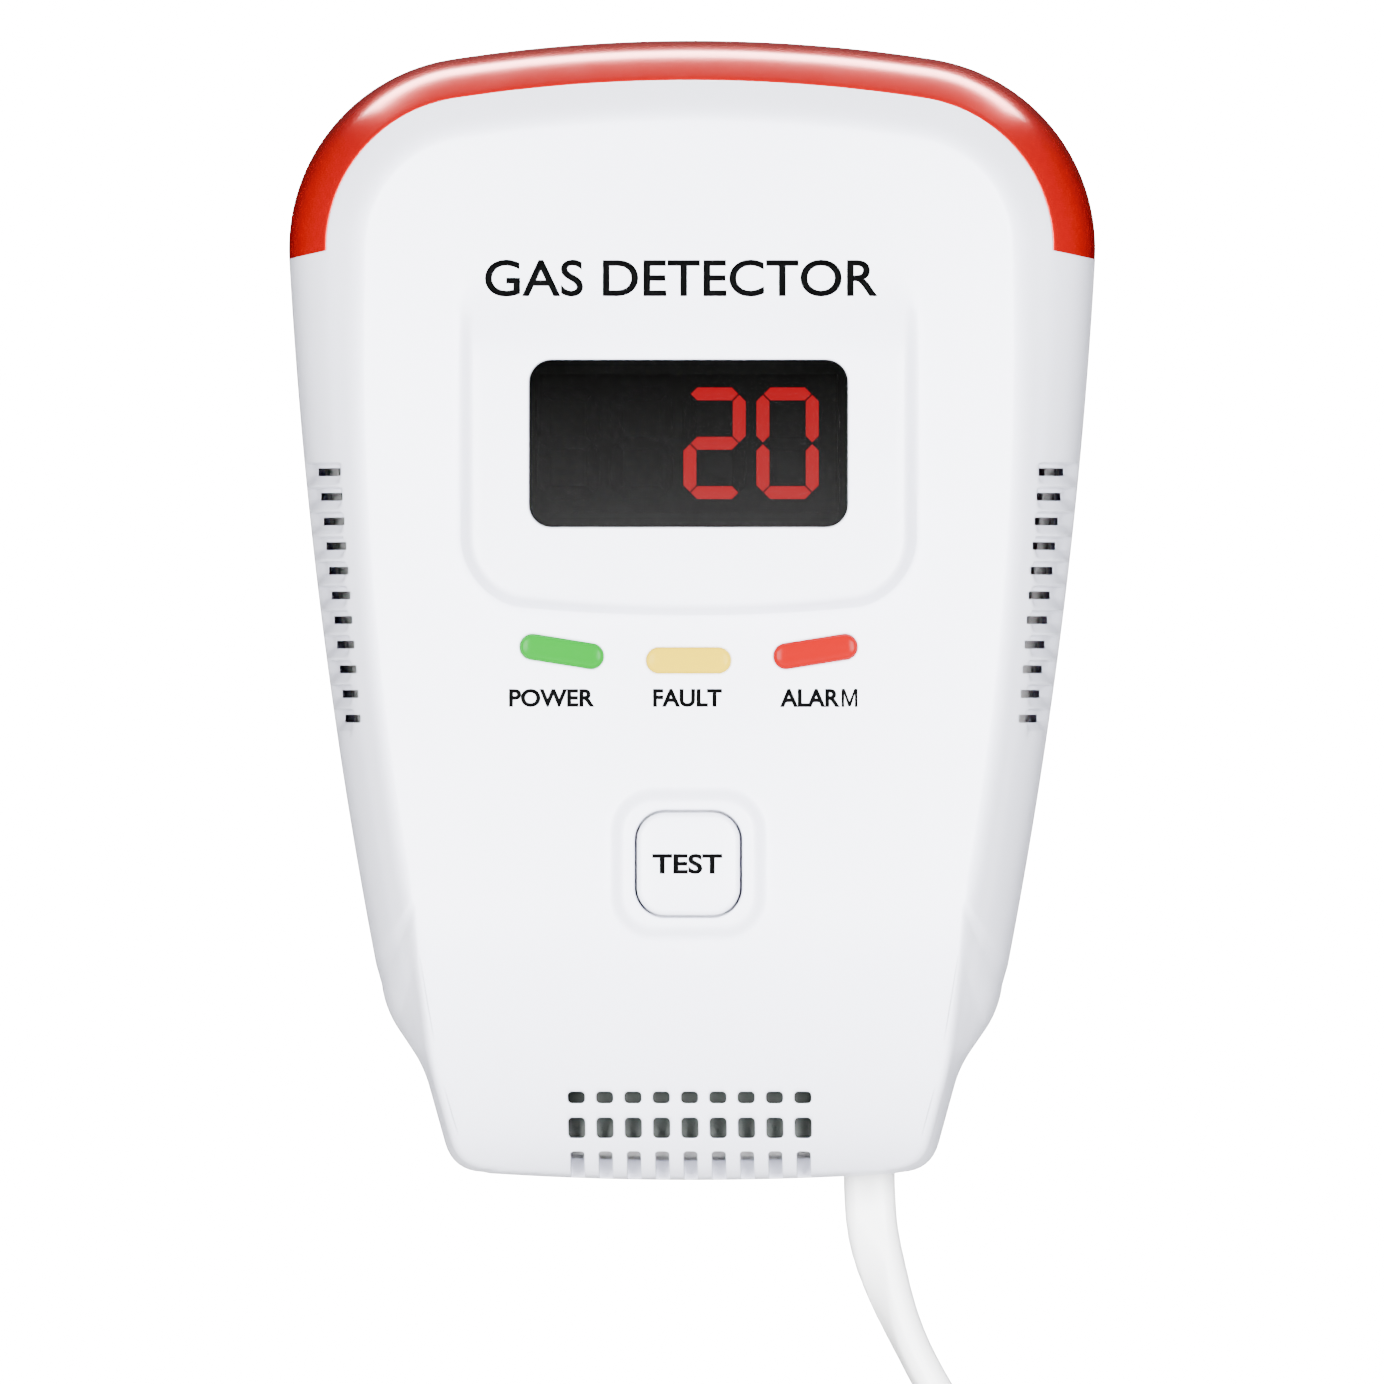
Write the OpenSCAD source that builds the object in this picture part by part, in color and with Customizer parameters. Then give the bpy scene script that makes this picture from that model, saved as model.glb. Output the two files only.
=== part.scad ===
// Wall-mounted gas detector with a digital display, a strobe lens and a corded supply.
// X is to the right, Z is up and the front faces -Y. The back lies in the plane Y = 0.

/* [Body] */
// Width over the shoulders
body_w = 82; // [80:0.5:84]
// Height from the crown to the foot
body_h = 115.8; // [114:0.2:118]
// Radius of the shallow top edge
top_r = 160; // [150:1:180]
// Radius of the two upper corners
corner_r = 19.5; // [18:0.5:20]
// Radius of the long curved sides
side_r = 539; // [500:1:600]
// Lean of the sides where they leave the corners, in degrees
side_lean = 3.2; // [2.5:0.1:3.6]
// Height of the step between the sides and the chin, below the middle
step_z = 40.6; // [39:0.2:41.5]
// Half width of the chin at its top
chin_half_w = 27.2; // [26.5:0.1:28]
// Half width of the chin at its foot
foot_half_w = 24.3; // [23.5:0.1:25]
// Wall thickness of both shells
wall = 2; // [1.8:0.1:2.2]

/* [Depth] */
// Depth of the parting line between the housing and the cover
part_d = 13; // [12.5:0.1:13.5]
// Depth of the rim of the front face
rim_d = 32.5; // [32:0.1:33]
// Rise of the crowned front face above its rim
crown = 2; // [1.6:0.1:2.4]
// Depth at which the chin meets the underside
foot_d = 15; // [14.5:0.1:15.5]
// Width of the rounded shoulder between the outline and the face
shoulder_w = 7.6; // [7.2:0.1:8]

/* [Display] */
// Width of the display window
window_w = 32.1; // [31:0.1:33]
// Height of the display window
window_h = 16.75; // [16:0.05:17.5]
// Height of the window's middle
window_z = 16.9; // [16.4:0.1:17.4]
// Half width of the raised tongue around the window
tongue_half_w = 23.3; // [22.5:0.1:24]
// Height of one digit
digit_h = 11.3; // [10.8:0.1:11.8]
// Width of one digit
digit_w = 6.3; // [6:0.1:6.6]
// Distance between two digits
digit_pitch = 7.4; // [7.2:0.1:7.6]
// Number of digits
digits = 4; // [2:1:4]

/* [Controls] */
// Side of the test button
button_w = 10.4; // [10:0.1:10.8]
// Height of the test button's middle
button_z = -25.7; // [-26.2:0.1:-25.2]
// Travel of the test button
button_travel = 0.8; // [0.5:0.1:0.9]
// Length of an indicator lens
lens_w = 8.4; // [8:0.1:8.8]
// Height of an indicator lens
lens_h = 2.4; // [2.2:0.1:2.6]
// Distance between two indicator lenses
lens_pitch = 12.85; // [12.4:0.05:13.2]
// Tilt of the two outer indicator lenses, in degrees
lens_tilt = 9; // [7:0.5:10]

/* [Vents] */
// Number of side louvres on each side
louvres = 11; // [9:1:11]
// Distance between two louvres
louvre_pitch = 2.5; // [2.4:0.05:2.6]
// Height of the top louvre
louvre_top_z = 14; // [13.5:0.1:14.5]
// Height of one louvre slit
slit_h = 0.8; // [0.7:0.05:1]
// Number of grille columns in the chin
grille_columns = 9; // [7:2:9]
// Distance between two grille columns
grille_pitch = 2.87; // [2.7:0.01:2.9]
// Width of one grille hole
grille_hole_w = 1.75; // [1.6:0.05:1.8]

/* [Cord] */
// Width of the flat cord
cord_w = 5.2; // [5:0.1:5.4]
// Thickness of the flat cord
cord_t = 3.3; // [3.2:0.1:3.4]
// Distance of the cord's exit from the middle
cord_x = 17.9; // [17.7:0.1:18.1]
// Depth of the cord's exit
cord_d = 6.5; // [6.3:0.1:6.7]
// Radius of the coil at the middle of its turns
coil_r = 28; // [27.5:0.5:28.5]

/* [Hidden] */
$fn = 48;

// Outline of the body, as one half from the crown to the foot
corner_x = body_w / 2 - corner_r;
top_c = body_h / 2 - top_r;
corner_c = [corner_x, top_c + sqrt((top_r - corner_r) ^ 2 - corner_x ^ 2)];
top_angle = asin(corner_x / (top_r - corner_r));
foot_r = 315;
bend_l = 2.6;
face_lean = -2;
face_side_r = 310;
face_side_end = -33;
face_edge_inset = 0.9;
face_foot_inset = 0.35;

// Cross-section of the rounded shoulder, as shares of its width and of its height
shoulder_curve = [[0, 0], [0.02, 0.2], [0.08, 0.4], [0.22, 0.57], [0.5, 0.76], [0.76, 0.89], [1, 1]];
lens_steps = 4;
lip_w = 1.6;
lip_t = 0.9;
lip_gap = 0.35;
cap_scales = [0.96, 0.91, 0.84, 0.72, 0.55, 0.3];
cap_middle = [0, -4];
face_half_w = 34.2;
chin_top = -30;
chin_len = body_h / 2 + chin_top + 0.6;
seam = 0.2;
fit = 0.1;

// Display tongue: a plane that leans back by a few degrees and fades into the face at its top
tongue_z = 0.5;
tongue_d = 35.9;
tongue_lean = 3;
tongue_h = 33;
tongue_corner = 4;
window_r = 2.2;
window_t = 1.6;
window_sunk = 0.25;

// Controls
pad_w = 16;
pad_h = 15.5;
pad_r = 4;
pad_d = 35.5;
button_r = 2.8;
button_gap = 0.25;
button_d = 36.4;
button_edge = 0.4;
button_flange_d = [30.9, 32];
stem_d = 25;
stem_r = 2.2;
lens_z = [-4.2, -5.1, -4.2];
lens_proud = 0.25;
lens_flange = 0.8;
lens_flange_d = [30.9, 31.9];
pipe_r = 1.4;
pipe_d = 23;

// Vents
louvre_in = [34.2, 33];
louvre_d = [24, 30];
grille_rows = [[-49.4, 1.2], [-52.5, 2.1]];
grille_slot_z = -54.9;
grille_slot_w = 1.45;
grille_d = 17;

// Housing
back_t = 2;
back_inset = 0.6;
back_edge = 1.4;
tongue_rim = [2.3, 3.5];
rim_depths = [11, 14.8];
tube_r = 3.6;
boss_r = 3;
boss_top = 29.6;
counterbore_r = 2.9;
counterbore_d = 9;
screw_hole_r = 1.7;
screw_r = 1.45;
screw_head_r = 2.6;
screw_head_t = 2.2;
screw_end = 25;
cover_screw_at = [[31, 27], [-31, 27], [24.2, -37], [-24.2, -37]];
post_at = [[26, 20], [-26, 20], [24, -27], [-24, -27]];
post_r = 2.6;
keyhole_x = 20;
keyhole_z = 30;
keyhole_r = 4;
keyhole_slot_r = 2;
keyhole_rise = 6;
label_w = 36;
label_h = 22;
label_z = -24;
label_t = 0.15;
label_sink = 0.3;

// Board and what it carries
board_d = 19;
board_t = 1.6;
board_top = board_d + board_t;
board_inset = 4.2;
module_size = [30.2, 14];
module_d = [23.6, 32.4];
segment_w = 1.3;
segment_t = 0.15;
segment_gap = 0.25;
switch_w = 6.2;
switch_top = 24.1;
plunger_r = 1.7;
plunger_bore_r = 1.85;
strobe_at = [[0, 49.5], [14, 48.6], [-14, 48.6], [26.5, 43], [-26.5, 43]];

// Strain relief
clamp_z = -44.2;
clamp_half_l = 5.7;
clamp_w = 3.6;
clamp_t = 2;
clamp_post_x = 4.25;
clamp_post_r = 1.6;
clamp_head_r = 1.65;
grommet_z = [-57.6, -53];

// Route of the cord out of the housing and down to the coil: X, height and depth
cord_route = [[17.9, -41, 6.5], [17.9, -46, 6.5], [17.9, -50, 6.5], [17.9, -54, 6.5], [17.9, -57.9, 6.5],
    [18, -60.3, 6.5], [18.2, -62.7, 6.5], [18.7, -65.2, 6.5], [19.4, -67.6, 6.6], [20.2, -70, 6.8],
    [21.2, -72.5, 7], [22.4, -75.1, 7.3], [23.9, -78, 7.6], [25.9, -81.3, 8], [28.4, -84.9, 8.4],
    [31.2, -88.2, 8.8], [34.3, -91.5, 9.1], [37.7, -95, 9.4], [40.9, -98.6, 9.5]];
// Route of the cord from the face of the coil into the plug
tail_route = [[-14, -102.5, 18.5], [-10.8, -97.5, 19.4], [-6, -93.2, 20.2], [0, -90.8, 20.9],
    [6.4, -90.6, 21.6], [12.6, -92.6, 22.4], [17.8, -96.3, 23.2], [21.6, -101.4, 24],
    [23.6, -107.2, 24.6], [24, -112, 24.7]];
cord_sides = 10;
twist_from = -60;
twist_to = -76;
twist = 80;
coil_c = [16, -119.5, 9.5];
coil_half_r = 7.1;
coil_half_t = 7.8;
tie_angles = [-2, 200];
tie_t = 0.6;
tie_w = 4;
plug_at = [24, -112, 24.7];
plug_l = 36;
plug_t = 13.6;
plug_neck_w = 13;
plug_face_w = 34;
pin_r = 2;
pin_l = 19;
pin_pitch = 19;

// ---- Shapes that repeat -------------------------------------------------------------

// Turns a drawing of X, height and depth so that the height stands up and the depth faces forwards
module upright() {
    rotate([90, 0, 0]) children();
}

// A block between two depths over a flat outline
module between(d0, d1) {
    translate([0, 0, d0]) linear_extrude(d1 - d0) children();
}

module rounded(w, h, r) {
    hull_w = w / 2 - r;
    hull_h = h / 2 - r;
    square([w, h - 2 * r], center = true);
    square([w - 2 * r, h], center = true);
    for (x = [-hull_w, hull_w], y = [-hull_h, hull_h]) translate([x, y]) circle(r);
}

module at(points) {
    for (p = points) translate([p.x, p.y]) children();
}

// Points of an arc; angles run clockwise from straight up
function arc(c, r, a0, a1, n) =
    [for (i = [0:n - 1]) let (a = a0 + (a1 - a0) * i / n) c + r * [sin(a), cos(a)]];

// A soft bend at b on the way from a to c
function bend(a, b, c, l, n = 4) =
    let (p = b + l * (a - b) / norm(a - b), q = b + l * (c - b) / norm(c - b))
    [for (i = [0:n - 1]) let (t = i / (n - 1)) (1 - t) ^ 2 * p + 2 * t * (1 - t) * b + t ^ 2 * q];

function foot_z(x) = -body_h / 2 + x ^ 2 / (2 * foot_r);

// Half an outline, clockwise from the middle of the top to the middle of the foot
function half_outline(r, lean, long_r, end_z, waist, foot, rise) =
    let (start = corner_c + r * [cos(lean), -sin(lean)],
        c = start - long_r * [cos(lean), -sin(lean)],
        end_a = acos((end_z - c.y) / long_r),
        step = c + long_r * [sin(end_a), cos(end_a)],
        middle = [0, -body_h / 2 + rise])
    concat(
        arc([0, top_c], r + top_r - corner_r, 0, top_angle, 4),
        arc(corner_c, r, top_angle, 90 + lean, 10),
        arc(c, long_r, 90 + lean, end_a - 0.4, 6),
        bend(start, step, waist, bend_l),
        bend(step, waist, foot, 2),
        bend(waist, foot, middle, 3),
        [for (i = [1:3]) let (x = (foot.x - 3) * (1 - i / 4)) [x, foot_z(x) + rise]],
        [middle]);

function whole(half) = concat(half, [for (i = [len(half) - 2:-1:1]) [-half[i].x, half[i].y]]);

body_ring = whole(half_outline(corner_r, side_lean, side_r, -step_z,
    [chin_half_w, -46.4], [foot_half_w, foot_z(foot_half_w)], 0));
face_ring = whole(half_outline(corner_r - shoulder_w, face_lean, face_side_r, face_side_end,
    [chin_half_w - face_edge_inset, -46.2],
    [foot_half_w - face_edge_inset, foot_z(foot_half_w) + face_foot_inset], face_foot_inset));
ring_n = len(body_ring);
corner_end = 14;

// Depth of the front face at a point of it
function face_d(p) =
    let (rise = crown * (1 - (p.x / face_half_w) ^ 2) * (p.y > 0 ? 1 - (p.y / (body_h / 2)) ^ 2 : 1),
        d = rim_d + max(0, rise))
    p.y > chin_top ? d : foot_d + (d - foot_d) * sqrt(max(0.02, 1 - ((chin_top - p.y) / chin_len) ^ 2));

// Point k of the shoulder's section in millimetres, and the way into the wall there
function shoulder_at(k) = [shoulder_curve[k].x * shoulder_w, shoulder_curve[k].y * (rim_d - part_d)];
function shoulder_normal(k) =
    let (last = len(shoulder_curve) - 1, t = shoulder_at(min(last, k + 1)) - shoulder_at(max(0, k - 1)))
    k == 0 ? [1, 0] : [t.y, -t.x] / norm(t);

// A point of the shell: station i around the outline, step k over the shoulder, t below the surface
function shell_point(i, k, t) =
    let (o = body_ring[i % ring_n], f = face_ring[i % ring_n], w = norm(f - o), s = shoulder_curve[k],
        n = shoulder_normal(k), depth = part_d + seam + (face_d(f) - part_d - seam) * s.y)
    let (p = o + (f - o) / w * (w * s.x + t * n.x)) [p.x, p.y, depth + t * n.y];

function shell_rings(t, steps) = [for (k = steps) [for (i = [0:ring_n - 1]) shell_point(i, k, t)]];

// Rings that close the face towards its middle, t below its surface
function cap_rings(rim, scales, t) = [for (s = scales) [for (p = rim)
    let (q = cap_middle + s * ([p.x, p.y] - cap_middle)) [q.x, q.y, face_d(q) - t]]];

// Faces that join rings of n points, one after the other
function join_rings(rings, n) = [for (j = [0:rings - 2], i = [0:n - 1]) each
    [[j * n + i, (j + 1) * n + i, (j + 1) * n + (i + 1) % n],
        [j * n + i, (j + 1) * n + (i + 1) % n, j * n + (i + 1) % n]]];

function flipped(faces) = [for (f = faces) [f[2], f[1], f[0]]];

// The cover's shell: out over the shoulder to the middle of the face, and back below it
module shell() {
    all_steps = [for (k = [0:len(shoulder_curve) - 1]) k];
    inner_steps = [0, 2, 3, 4, 5, 6];
    outer = shell_rings(0, all_steps);
    inner = shell_rings(wall, inner_steps);
    outer_rings = concat(outer, cap_rings(outer[len(outer) - 1], cap_scales, 0));
    inner_rings = concat(inner, cap_rings(inner[len(inner) - 1], [0.93, 0.82, 0.6, 0.3], wall));
    no = len(outer_rings);
    ni = len(inner_rings);
    top = [cap_middle.x, cap_middle.y, face_d(cap_middle)];
    outer_end = no * ring_n;
    inner_start = outer_end + 1;
    inner_end = inner_start + ni * ring_n;
    last_out = outer_end - ring_n;
    last_in = inner_end - ring_n;
    next = [for (i = [0:ring_n - 1]) (i + 1) % ring_n];
    polyhedron(
        points = concat([for (r = outer_rings) each r], [top],
            [for (r = inner_rings) each r], [top - [0, 0, wall]]),
        faces = concat(
            flipped(join_rings(no, ring_n)),
            [for (i = [0:ring_n - 1]) [last_out + next[i], outer_end, last_out + i]],
            [for (f = join_rings(ni, ring_n)) [for (v = f) v + inner_start]],
            [for (i = [0:ring_n - 1]) [last_in + next[i], last_in + i, inner_end]],
            [for (i = [0:ring_n - 1]) each
                [[inner_start + next[i], next[i], i], [inner_start + i, inner_start + next[i], i]]]),
        convexity = 8);
}

// A section of shares and depths carried along stations of the outline, from the left over the top
module over_the_top(section, ends) {
    n = len(section);
    stations = [for (i = [-ends:ends]) (i + ring_n) % ring_n];
    base = part_d + seam;
    points = [for (i = stations)
        let (o = body_ring[i], f = face_ring[i], u = unit(f - o), k = (face_d(f) - base) / (rim_d - part_d))
        each [for (s = section) [o.x + u.x * s.x, o.y + u.y * s.x, base + k * (s.y - base)]]];
    m = len(stations);
    polyhedron(points = points,
        faces = concat(join_rings(m, n), [[for (i = [0:n - 1]) i]],
            [[for (i = [n - 1:-1:0]) (m - 1) * n + i]]), convexity = 6);
}

// The strobe lens's section: the shoulder's curve, the same curve a wall below it, and a lip that laps
// behind the cover. The pocket is the room that the cover leaves for it.
lens_edge = shoulder_at(lens_steps) + [0, part_d + seam];
edge_in = shoulder_normal(lens_steps);
edge_on = [-edge_in.y, edge_in.x];
lens_section = concat(
    [for (k = [0:lens_steps]) shoulder_at(k) + [0, part_d + seam]],
    [for (p = [[0, 0], [lip_w, 0], [lip_w, lip_t], [-lip_w / 2, lip_t]])
        lens_edge + p.x * edge_on + (p.y + wall + lip_gap) * edge_in],
    [for (k = [lens_steps - 1:-1:0]) shoulder_at(k) + [0, part_d + seam] + wall * shoulder_normal(k)]);
pocket = [[-wall, part_d - 1], [-wall, rim_d], lens_edge + fit * edge_on - 2 * wall * edge_in,
    lens_edge + fit * edge_on + 1.5 * wall * edge_in, [2 * wall, part_d - 1]];

// ---- The cord -----------------------------------------------------------------------

function unit(v) = v / norm(v);
function heading(path, i) = unit(path[min(len(path) - 1, i + 1)] - path[max(0, i - 1)]);
function twist_at(z) = twist * min(1, max(0, (twist_from - z) / (twist_from - twist_to)));

// One ring of the flat cord's oval section, turned about the cord by its twist
function cord_ring(path, i, turn) =
    let (t = heading(path, i), front = unit([0, 0, 1] - t.z * t), side = cross(front, t))
    [for (j = [0:cord_sides - 1])
        let (a = 360 * j / cord_sides, u = cord_w / 2 * cos(a), v = cord_t / 2 * sin(a))
        path[i] + (u * cos(turn) - v * sin(turn)) * side + (u * sin(turn) + v * cos(turn)) * front];

module flat_cord(path) {
    m = len(path);
    points = [for (i = [0:m - 1]) each cord_ring(path, i, twist_at(path[i].y))];
    polyhedron(points = points,
        faces = concat(flipped(join_rings(m, cord_sides)),
            [[for (j = [cord_sides - 1:-1:0]) j]],
            [[for (j = [0:cord_sides - 1]) (m - 1) * cord_sides + j]]), convexity = 6);
}

// An outline of the cord's section, carried straight up through the foot wall
module along_cord(w, t, r, z0, z1) {
    translate([cord_x, z0, cord_d]) rotate([-90, 0, 0]) linear_extrude(z1 - z0) rounded(w, t, r);
}

// ---- Shells -------------------------------------------------------------------------

module outline(inset) {
    offset(delta = -inset) polygon(body_ring);
}

module keyholes() {
    for (s = [-1, 1]) translate([s * keyhole_x, keyhole_z]) {
        circle(keyhole_r);
        translate([-keyhole_slot_r, 0]) square([2 * keyhole_slot_r, keyhole_rise]);
        translate([0, keyhole_rise]) circle(keyhole_slot_r);
    }
}

module rear_housing() {
    color([0.93, 0.93, 0.94]) upright() difference() {
        union() {
            difference() {
                union() {
                    between(0, 1) outline(back_edge);
                    between(1, part_d) outline(back_inset);
                    difference() {
                        between(rim_depths[0], rim_depths[1]) outline(tongue_rim[0]);
                        between(rim_depths[0] - 1, rim_depths[1] + 1) outline(tongue_rim[1]);
                    }
                }
                between(back_t, part_d + 5) outline(back_inset + 2.2 + (tongue_rim[1] - tongue_rim[0]));
                between(back_t, rim_depths[0]) outline(back_inset + 2.2);
            }
            at(cover_screw_at) cylinder(r = tube_r, h = part_d);
            at(post_at) cylinder(r = post_r, h = board_d);
            for (s = [-1, 1]) translate([cord_x + s * clamp_post_x, clamp_z, 0])
                cylinder(r = clamp_post_r, h = cord_d + cord_t / 2);
            translate([cord_x - cord_w / 2, clamp_z - clamp_w / 2, 1])
                cube([cord_w, clamp_w, cord_d - cord_t / 2 - 1]);
        }
        at(cover_screw_at) {
            translate([0, 0, -1]) cylinder(r = counterbore_r, h = counterbore_d + 1);
            cylinder(r = screw_hole_r, h = part_d + 1);
        }
        at(post_at) translate([0, 0, 8]) cylinder(r = 1, h = board_d);
        for (s = [-1, 1]) translate([cord_x + s * clamp_post_x, clamp_z, 3.5]) cylinder(r = 0.95, h = 10);
        between(-1, back_t + 1) keyholes();
        translate([0, label_z]) between(-1, label_sink) rounded(label_w + 0.6, label_h + 0.6, 1.8);
        along_cord(cord_w + 2.2, cord_t + 2.1, 2.4, -body_h / 2 - 3, -53);
    }
}

module tongue_frame() {
    translate([0, tongue_z, tongue_d]) rotate([-tongue_lean, 0, 0]) children();
}

// Outline of the tongue, from its curved lower edge upwards
module tongue_outline() {
    intersection() {
        translate([0, 150]) circle(r = 150, $fn = 240);
        translate([0, tongue_h / 2 - 4]) rounded(2 * tongue_half_w, tongue_h + 8, tongue_corner);
    }
}

module indicator_outline(grow) {
    hw = (lens_w - lens_h) / 2;
    square([2 * hw, lens_h + 2 * grow], center = true);
    for (s = [-1, 1]) translate([s * hw, 0]) circle(r = lens_h / 2 + grow);
}

// Moves a drawing to indicator k of three
module to_indicator(k) {
    translate([(k - 1) * lens_pitch, lens_z[k]]) rotate((k - 1) * lens_tilt) children();
}

module side_louvres() {
    for (k = [0:louvres - 1], s = [0, 1]) mirror([s, 0, 0])
        translate([louvre_in[0] - (louvre_in[0] - louvre_in[1]) * k / louvres,
                louvre_top_z - k * louvre_pitch - slit_h / 2, louvre_d[0]])
            cube([12, slit_h, louvre_d[1] - louvre_d[0]]);
}

module chin_grille() {
    for (k = [0:grille_columns - 1]) let (x = (k - (grille_columns - 1) / 2) * grille_pitch) {
        for (row = grille_rows) translate([x - grille_hole_w / 2, row[0] - row[1] / 2, grille_d])
            cube([grille_hole_w, row[1], 20]);
        translate([x - grille_slot_w / 2, grille_slot_z - 8, grille_d]) cube([grille_slot_w, 8, 20]);
    }
}

module front_cover() {
    color([0.95, 0.95, 0.96]) upright() difference() {
        union() {
            shell();
            tongue_frame() between(-3, 0) tongue_outline();
            translate([0, button_z]) between(pad_d - 2.6, pad_d) rounded(pad_w, pad_h, pad_r);
            at(cover_screw_at) between(part_d + seam, boss_top) circle(boss_r);
        }
        over_the_top(pocket, corner_end);
        side_louvres();
        chin_grille();
        at(cover_screw_at) between(part_d, boss_top - 3) circle(1.5);
        tongue_frame() translate([0, window_z - tongue_z]) between(-8, 2)
            rounded(window_w + 2 * fit, window_h + 2 * fit, window_r);
        translate([0, button_z]) between(28, 40)
            rounded(button_w + 2 * button_gap, button_w + 2 * button_gap, button_r + button_gap);
        for (k = [0:2]) to_indicator(k) between(28, 40) indicator_outline(fit);
    }
}

module alarm_lens() {
    color([0.86, 0.12, 0.1]) upright() over_the_top(lens_section, corner_end);
}

// ---- Front controls -----------------------------------------------------------------

module display_window() {
    color([0.12, 0.12, 0.13]) upright() tongue_frame() translate([0, window_z - tongue_z])
        between(-window_sunk - window_t, -window_sunk) rounded(window_w, window_h, window_r);
}

module indicator(k, tint) {
    x = (k - 1) * lens_pitch;
    color(tint) upright() to_indicator(k) {
        between(lens_flange_d[1], face_d([x, lens_z[k]]) + lens_proud) indicator_outline(0);
        between(lens_flange_d[0], lens_flange_d[1]) indicator_outline(lens_flange);
        between(pipe_d, lens_flange_d[0]) circle(pipe_r);
    }
}

module power_indicator() { indicator(0, [0.35, 0.85, 0.4]); }
module fault_indicator() { indicator(1, [1, 0.93, 0.5]); }
module alarm_indicator() { indicator(2, [0.97, 0.25, 0.27]); }

module test_button() {
    color([0.94, 0.94, 0.96]) upright() translate([0, button_z]) {
        between(button_flange_d[1], button_d - button_edge) rounded(button_w, button_w, button_r);
        between(button_d - button_edge, button_d)
            rounded(button_w - 2 * button_edge, button_w - 2 * button_edge, button_r - button_edge);
        between(button_flange_d[0], button_flange_d[1]) rounded(button_w + 2.2, button_w + 2.2, button_r);
        between(stem_d, button_flange_d[0]) circle(stem_r);
    }
}

module switch_body() {
    color([0.2, 0.2, 0.22]) upright() translate([0, button_z]) difference() {
        between(board_top, switch_top) square(switch_w, center = true);
        between(board_top + 0.6, switch_top + 1) circle(plunger_bore_r);
    }
}

module switch_plunger() {
    color([0.75, 0.2, 0.15]) upright() translate([0, button_z])
        between(stem_d - 2.6, stem_d) circle(plunger_r);
}

// ---- Board --------------------------------------------------------------------------

module main_board() {
    color([0.1, 0.4, 0.2]) upright() difference() {
        between(board_d, board_top) outline(board_inset);
        between(board_d - 1, board_top + 1) {
            at(cover_screw_at) circle(boss_r + 0.6);
            at(post_at) circle(1.3);
        }
    }
}

module display_module() {
    color([0.13, 0.13, 0.14]) upright() translate([0, window_z]) {
        between(module_d[0], module_d[1]) square(module_size, center = true);
        for (s = [-1, 1]) translate([0, s * 5])
            between(board_top, module_d[0]) square([26, 1.6], center = true);
    }
}

// A bar with pointed ends, lying along X
module segment(l) {
    a = l / 2;
    b = segment_w / 2;
    polygon([[-a, 0], [-a + b, b], [a - b, b], [a, 0], [a - b, -b], [-a + b, -b]]);
}

module digit() {
    across = digit_w - segment_w;
    up = (digit_h - segment_w) / 2;
    for (k = [-1:1]) translate([0, k * up]) segment(across - 2 * segment_gap);
    for (x = [-1, 1], y = [-1, 1]) translate([x * across / 2, y * up / 2]) rotate(90)
        segment(up - 2 * segment_gap);
}

module display_segments() {
    color([0.9, 0.15, 0.15]) upright() translate([0, window_z]) between(module_d[1], module_d[1] + segment_t)
        for (k = [0:digits - 1]) translate([(k - (digits - 1) / 2) * digit_pitch - 0.9, 0]) digit();
}

module indicator_leds() {
    color([0.95, 0.95, 0.85]) upright() for (k = [0:2]) to_indicator(k) {
        between(board_top, board_top + 1.4) square([3.5, 2.8], center = true);
        between(board_top + 1.4, board_top + 2) circle(1.1);
    }
}

module strobe_leds() {
    color([0.95, 0.9, 0.75]) upright() at(strobe_at) {
        between(board_top, board_top + 1.6) square(5, center = true);
        between(board_top + 1.6, board_top + 2.4) circle(1.9);
    }
}

module microchips() {
    color([0.1, 0.1, 0.11]) upright() {
        translate([17, -13]) between(board_top, board_top + 1.5) square(9, center = true);
        for (s = [-1, 1]) translate([s * 24, 4])
            between(board_top, board_top + 1.4) square([5, 4], center = true);
    }
}

module buzzer() {
    color([0.12, 0.12, 0.13]) upright() translate([-15.5, -17.5]) difference() {
        between(board_top, 28) circle(8.5);
        between(board_top + 3, 27) circle(7.6);
        between(26, 29) circle(1.5);
    }
}

// A round can with a narrower mesh top
module sensor_can(r, h, top_r) {
    between(board_top, board_top + h - 1) circle(r);
    between(board_top + h - 1, board_top + h) circle(top_r);
}

module co_sensor() {
    color([0.8, 0.8, 0.75]) upright() translate([-11, -38]) sensor_can(7, 5.5, 5);
}

module gas_sensor() {
    color([0.75, 0.7, 0.6]) upright() translate([11, -38]) sensor_can(6.6, 6.4, 5.2);
}

module power_module() {
    color([0.15, 0.15, 0.16]) upright() translate([0, 14])
        between(4.5, board_d) square([34, 20], center = true);
}

module capacitors() {
    color([0.2, 0.25, 0.5]) upright() {
        translate([-24, 7.5]) between(8, board_d) circle(4);
        translate([-24, -3]) between(7, board_d) circle(5);
    }
}

module fuse() {
    color([0.8, 0.8, 0.7]) upright() translate([24, -8, board_d - 2.2]) rotate([-90, 0, 0]) {
        cylinder(r = 2.2, h = 4);
        cylinder(r = 2, h = 14);
        translate([0, 0, 10]) cylinder(r = 2.2, h = 4);
    }
}

module terminal_block() {
    color([0.2, 0.45, 0.3]) upright() difference() {
        translate([7, -37.9, 9]) cube([10, 7.9, board_d - 9]);
        for (x = [9.5, 14.5]) {
            translate([x, -39, 12]) rotate([-90, 0, 0]) cylinder(r = 1.2, h = 6);
            translate([x, -34, 8]) cylinder(r = 1.6, h = 2.5);
        }
    }
}

// A straight round rod from p to q
module rod(p, q, r) {
    v = q - p;
    translate(p) rotate([0, acos(v.z / norm(v)), atan2(v.y, v.x)]) cylinder(r = r, h = norm(v));
}

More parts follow.
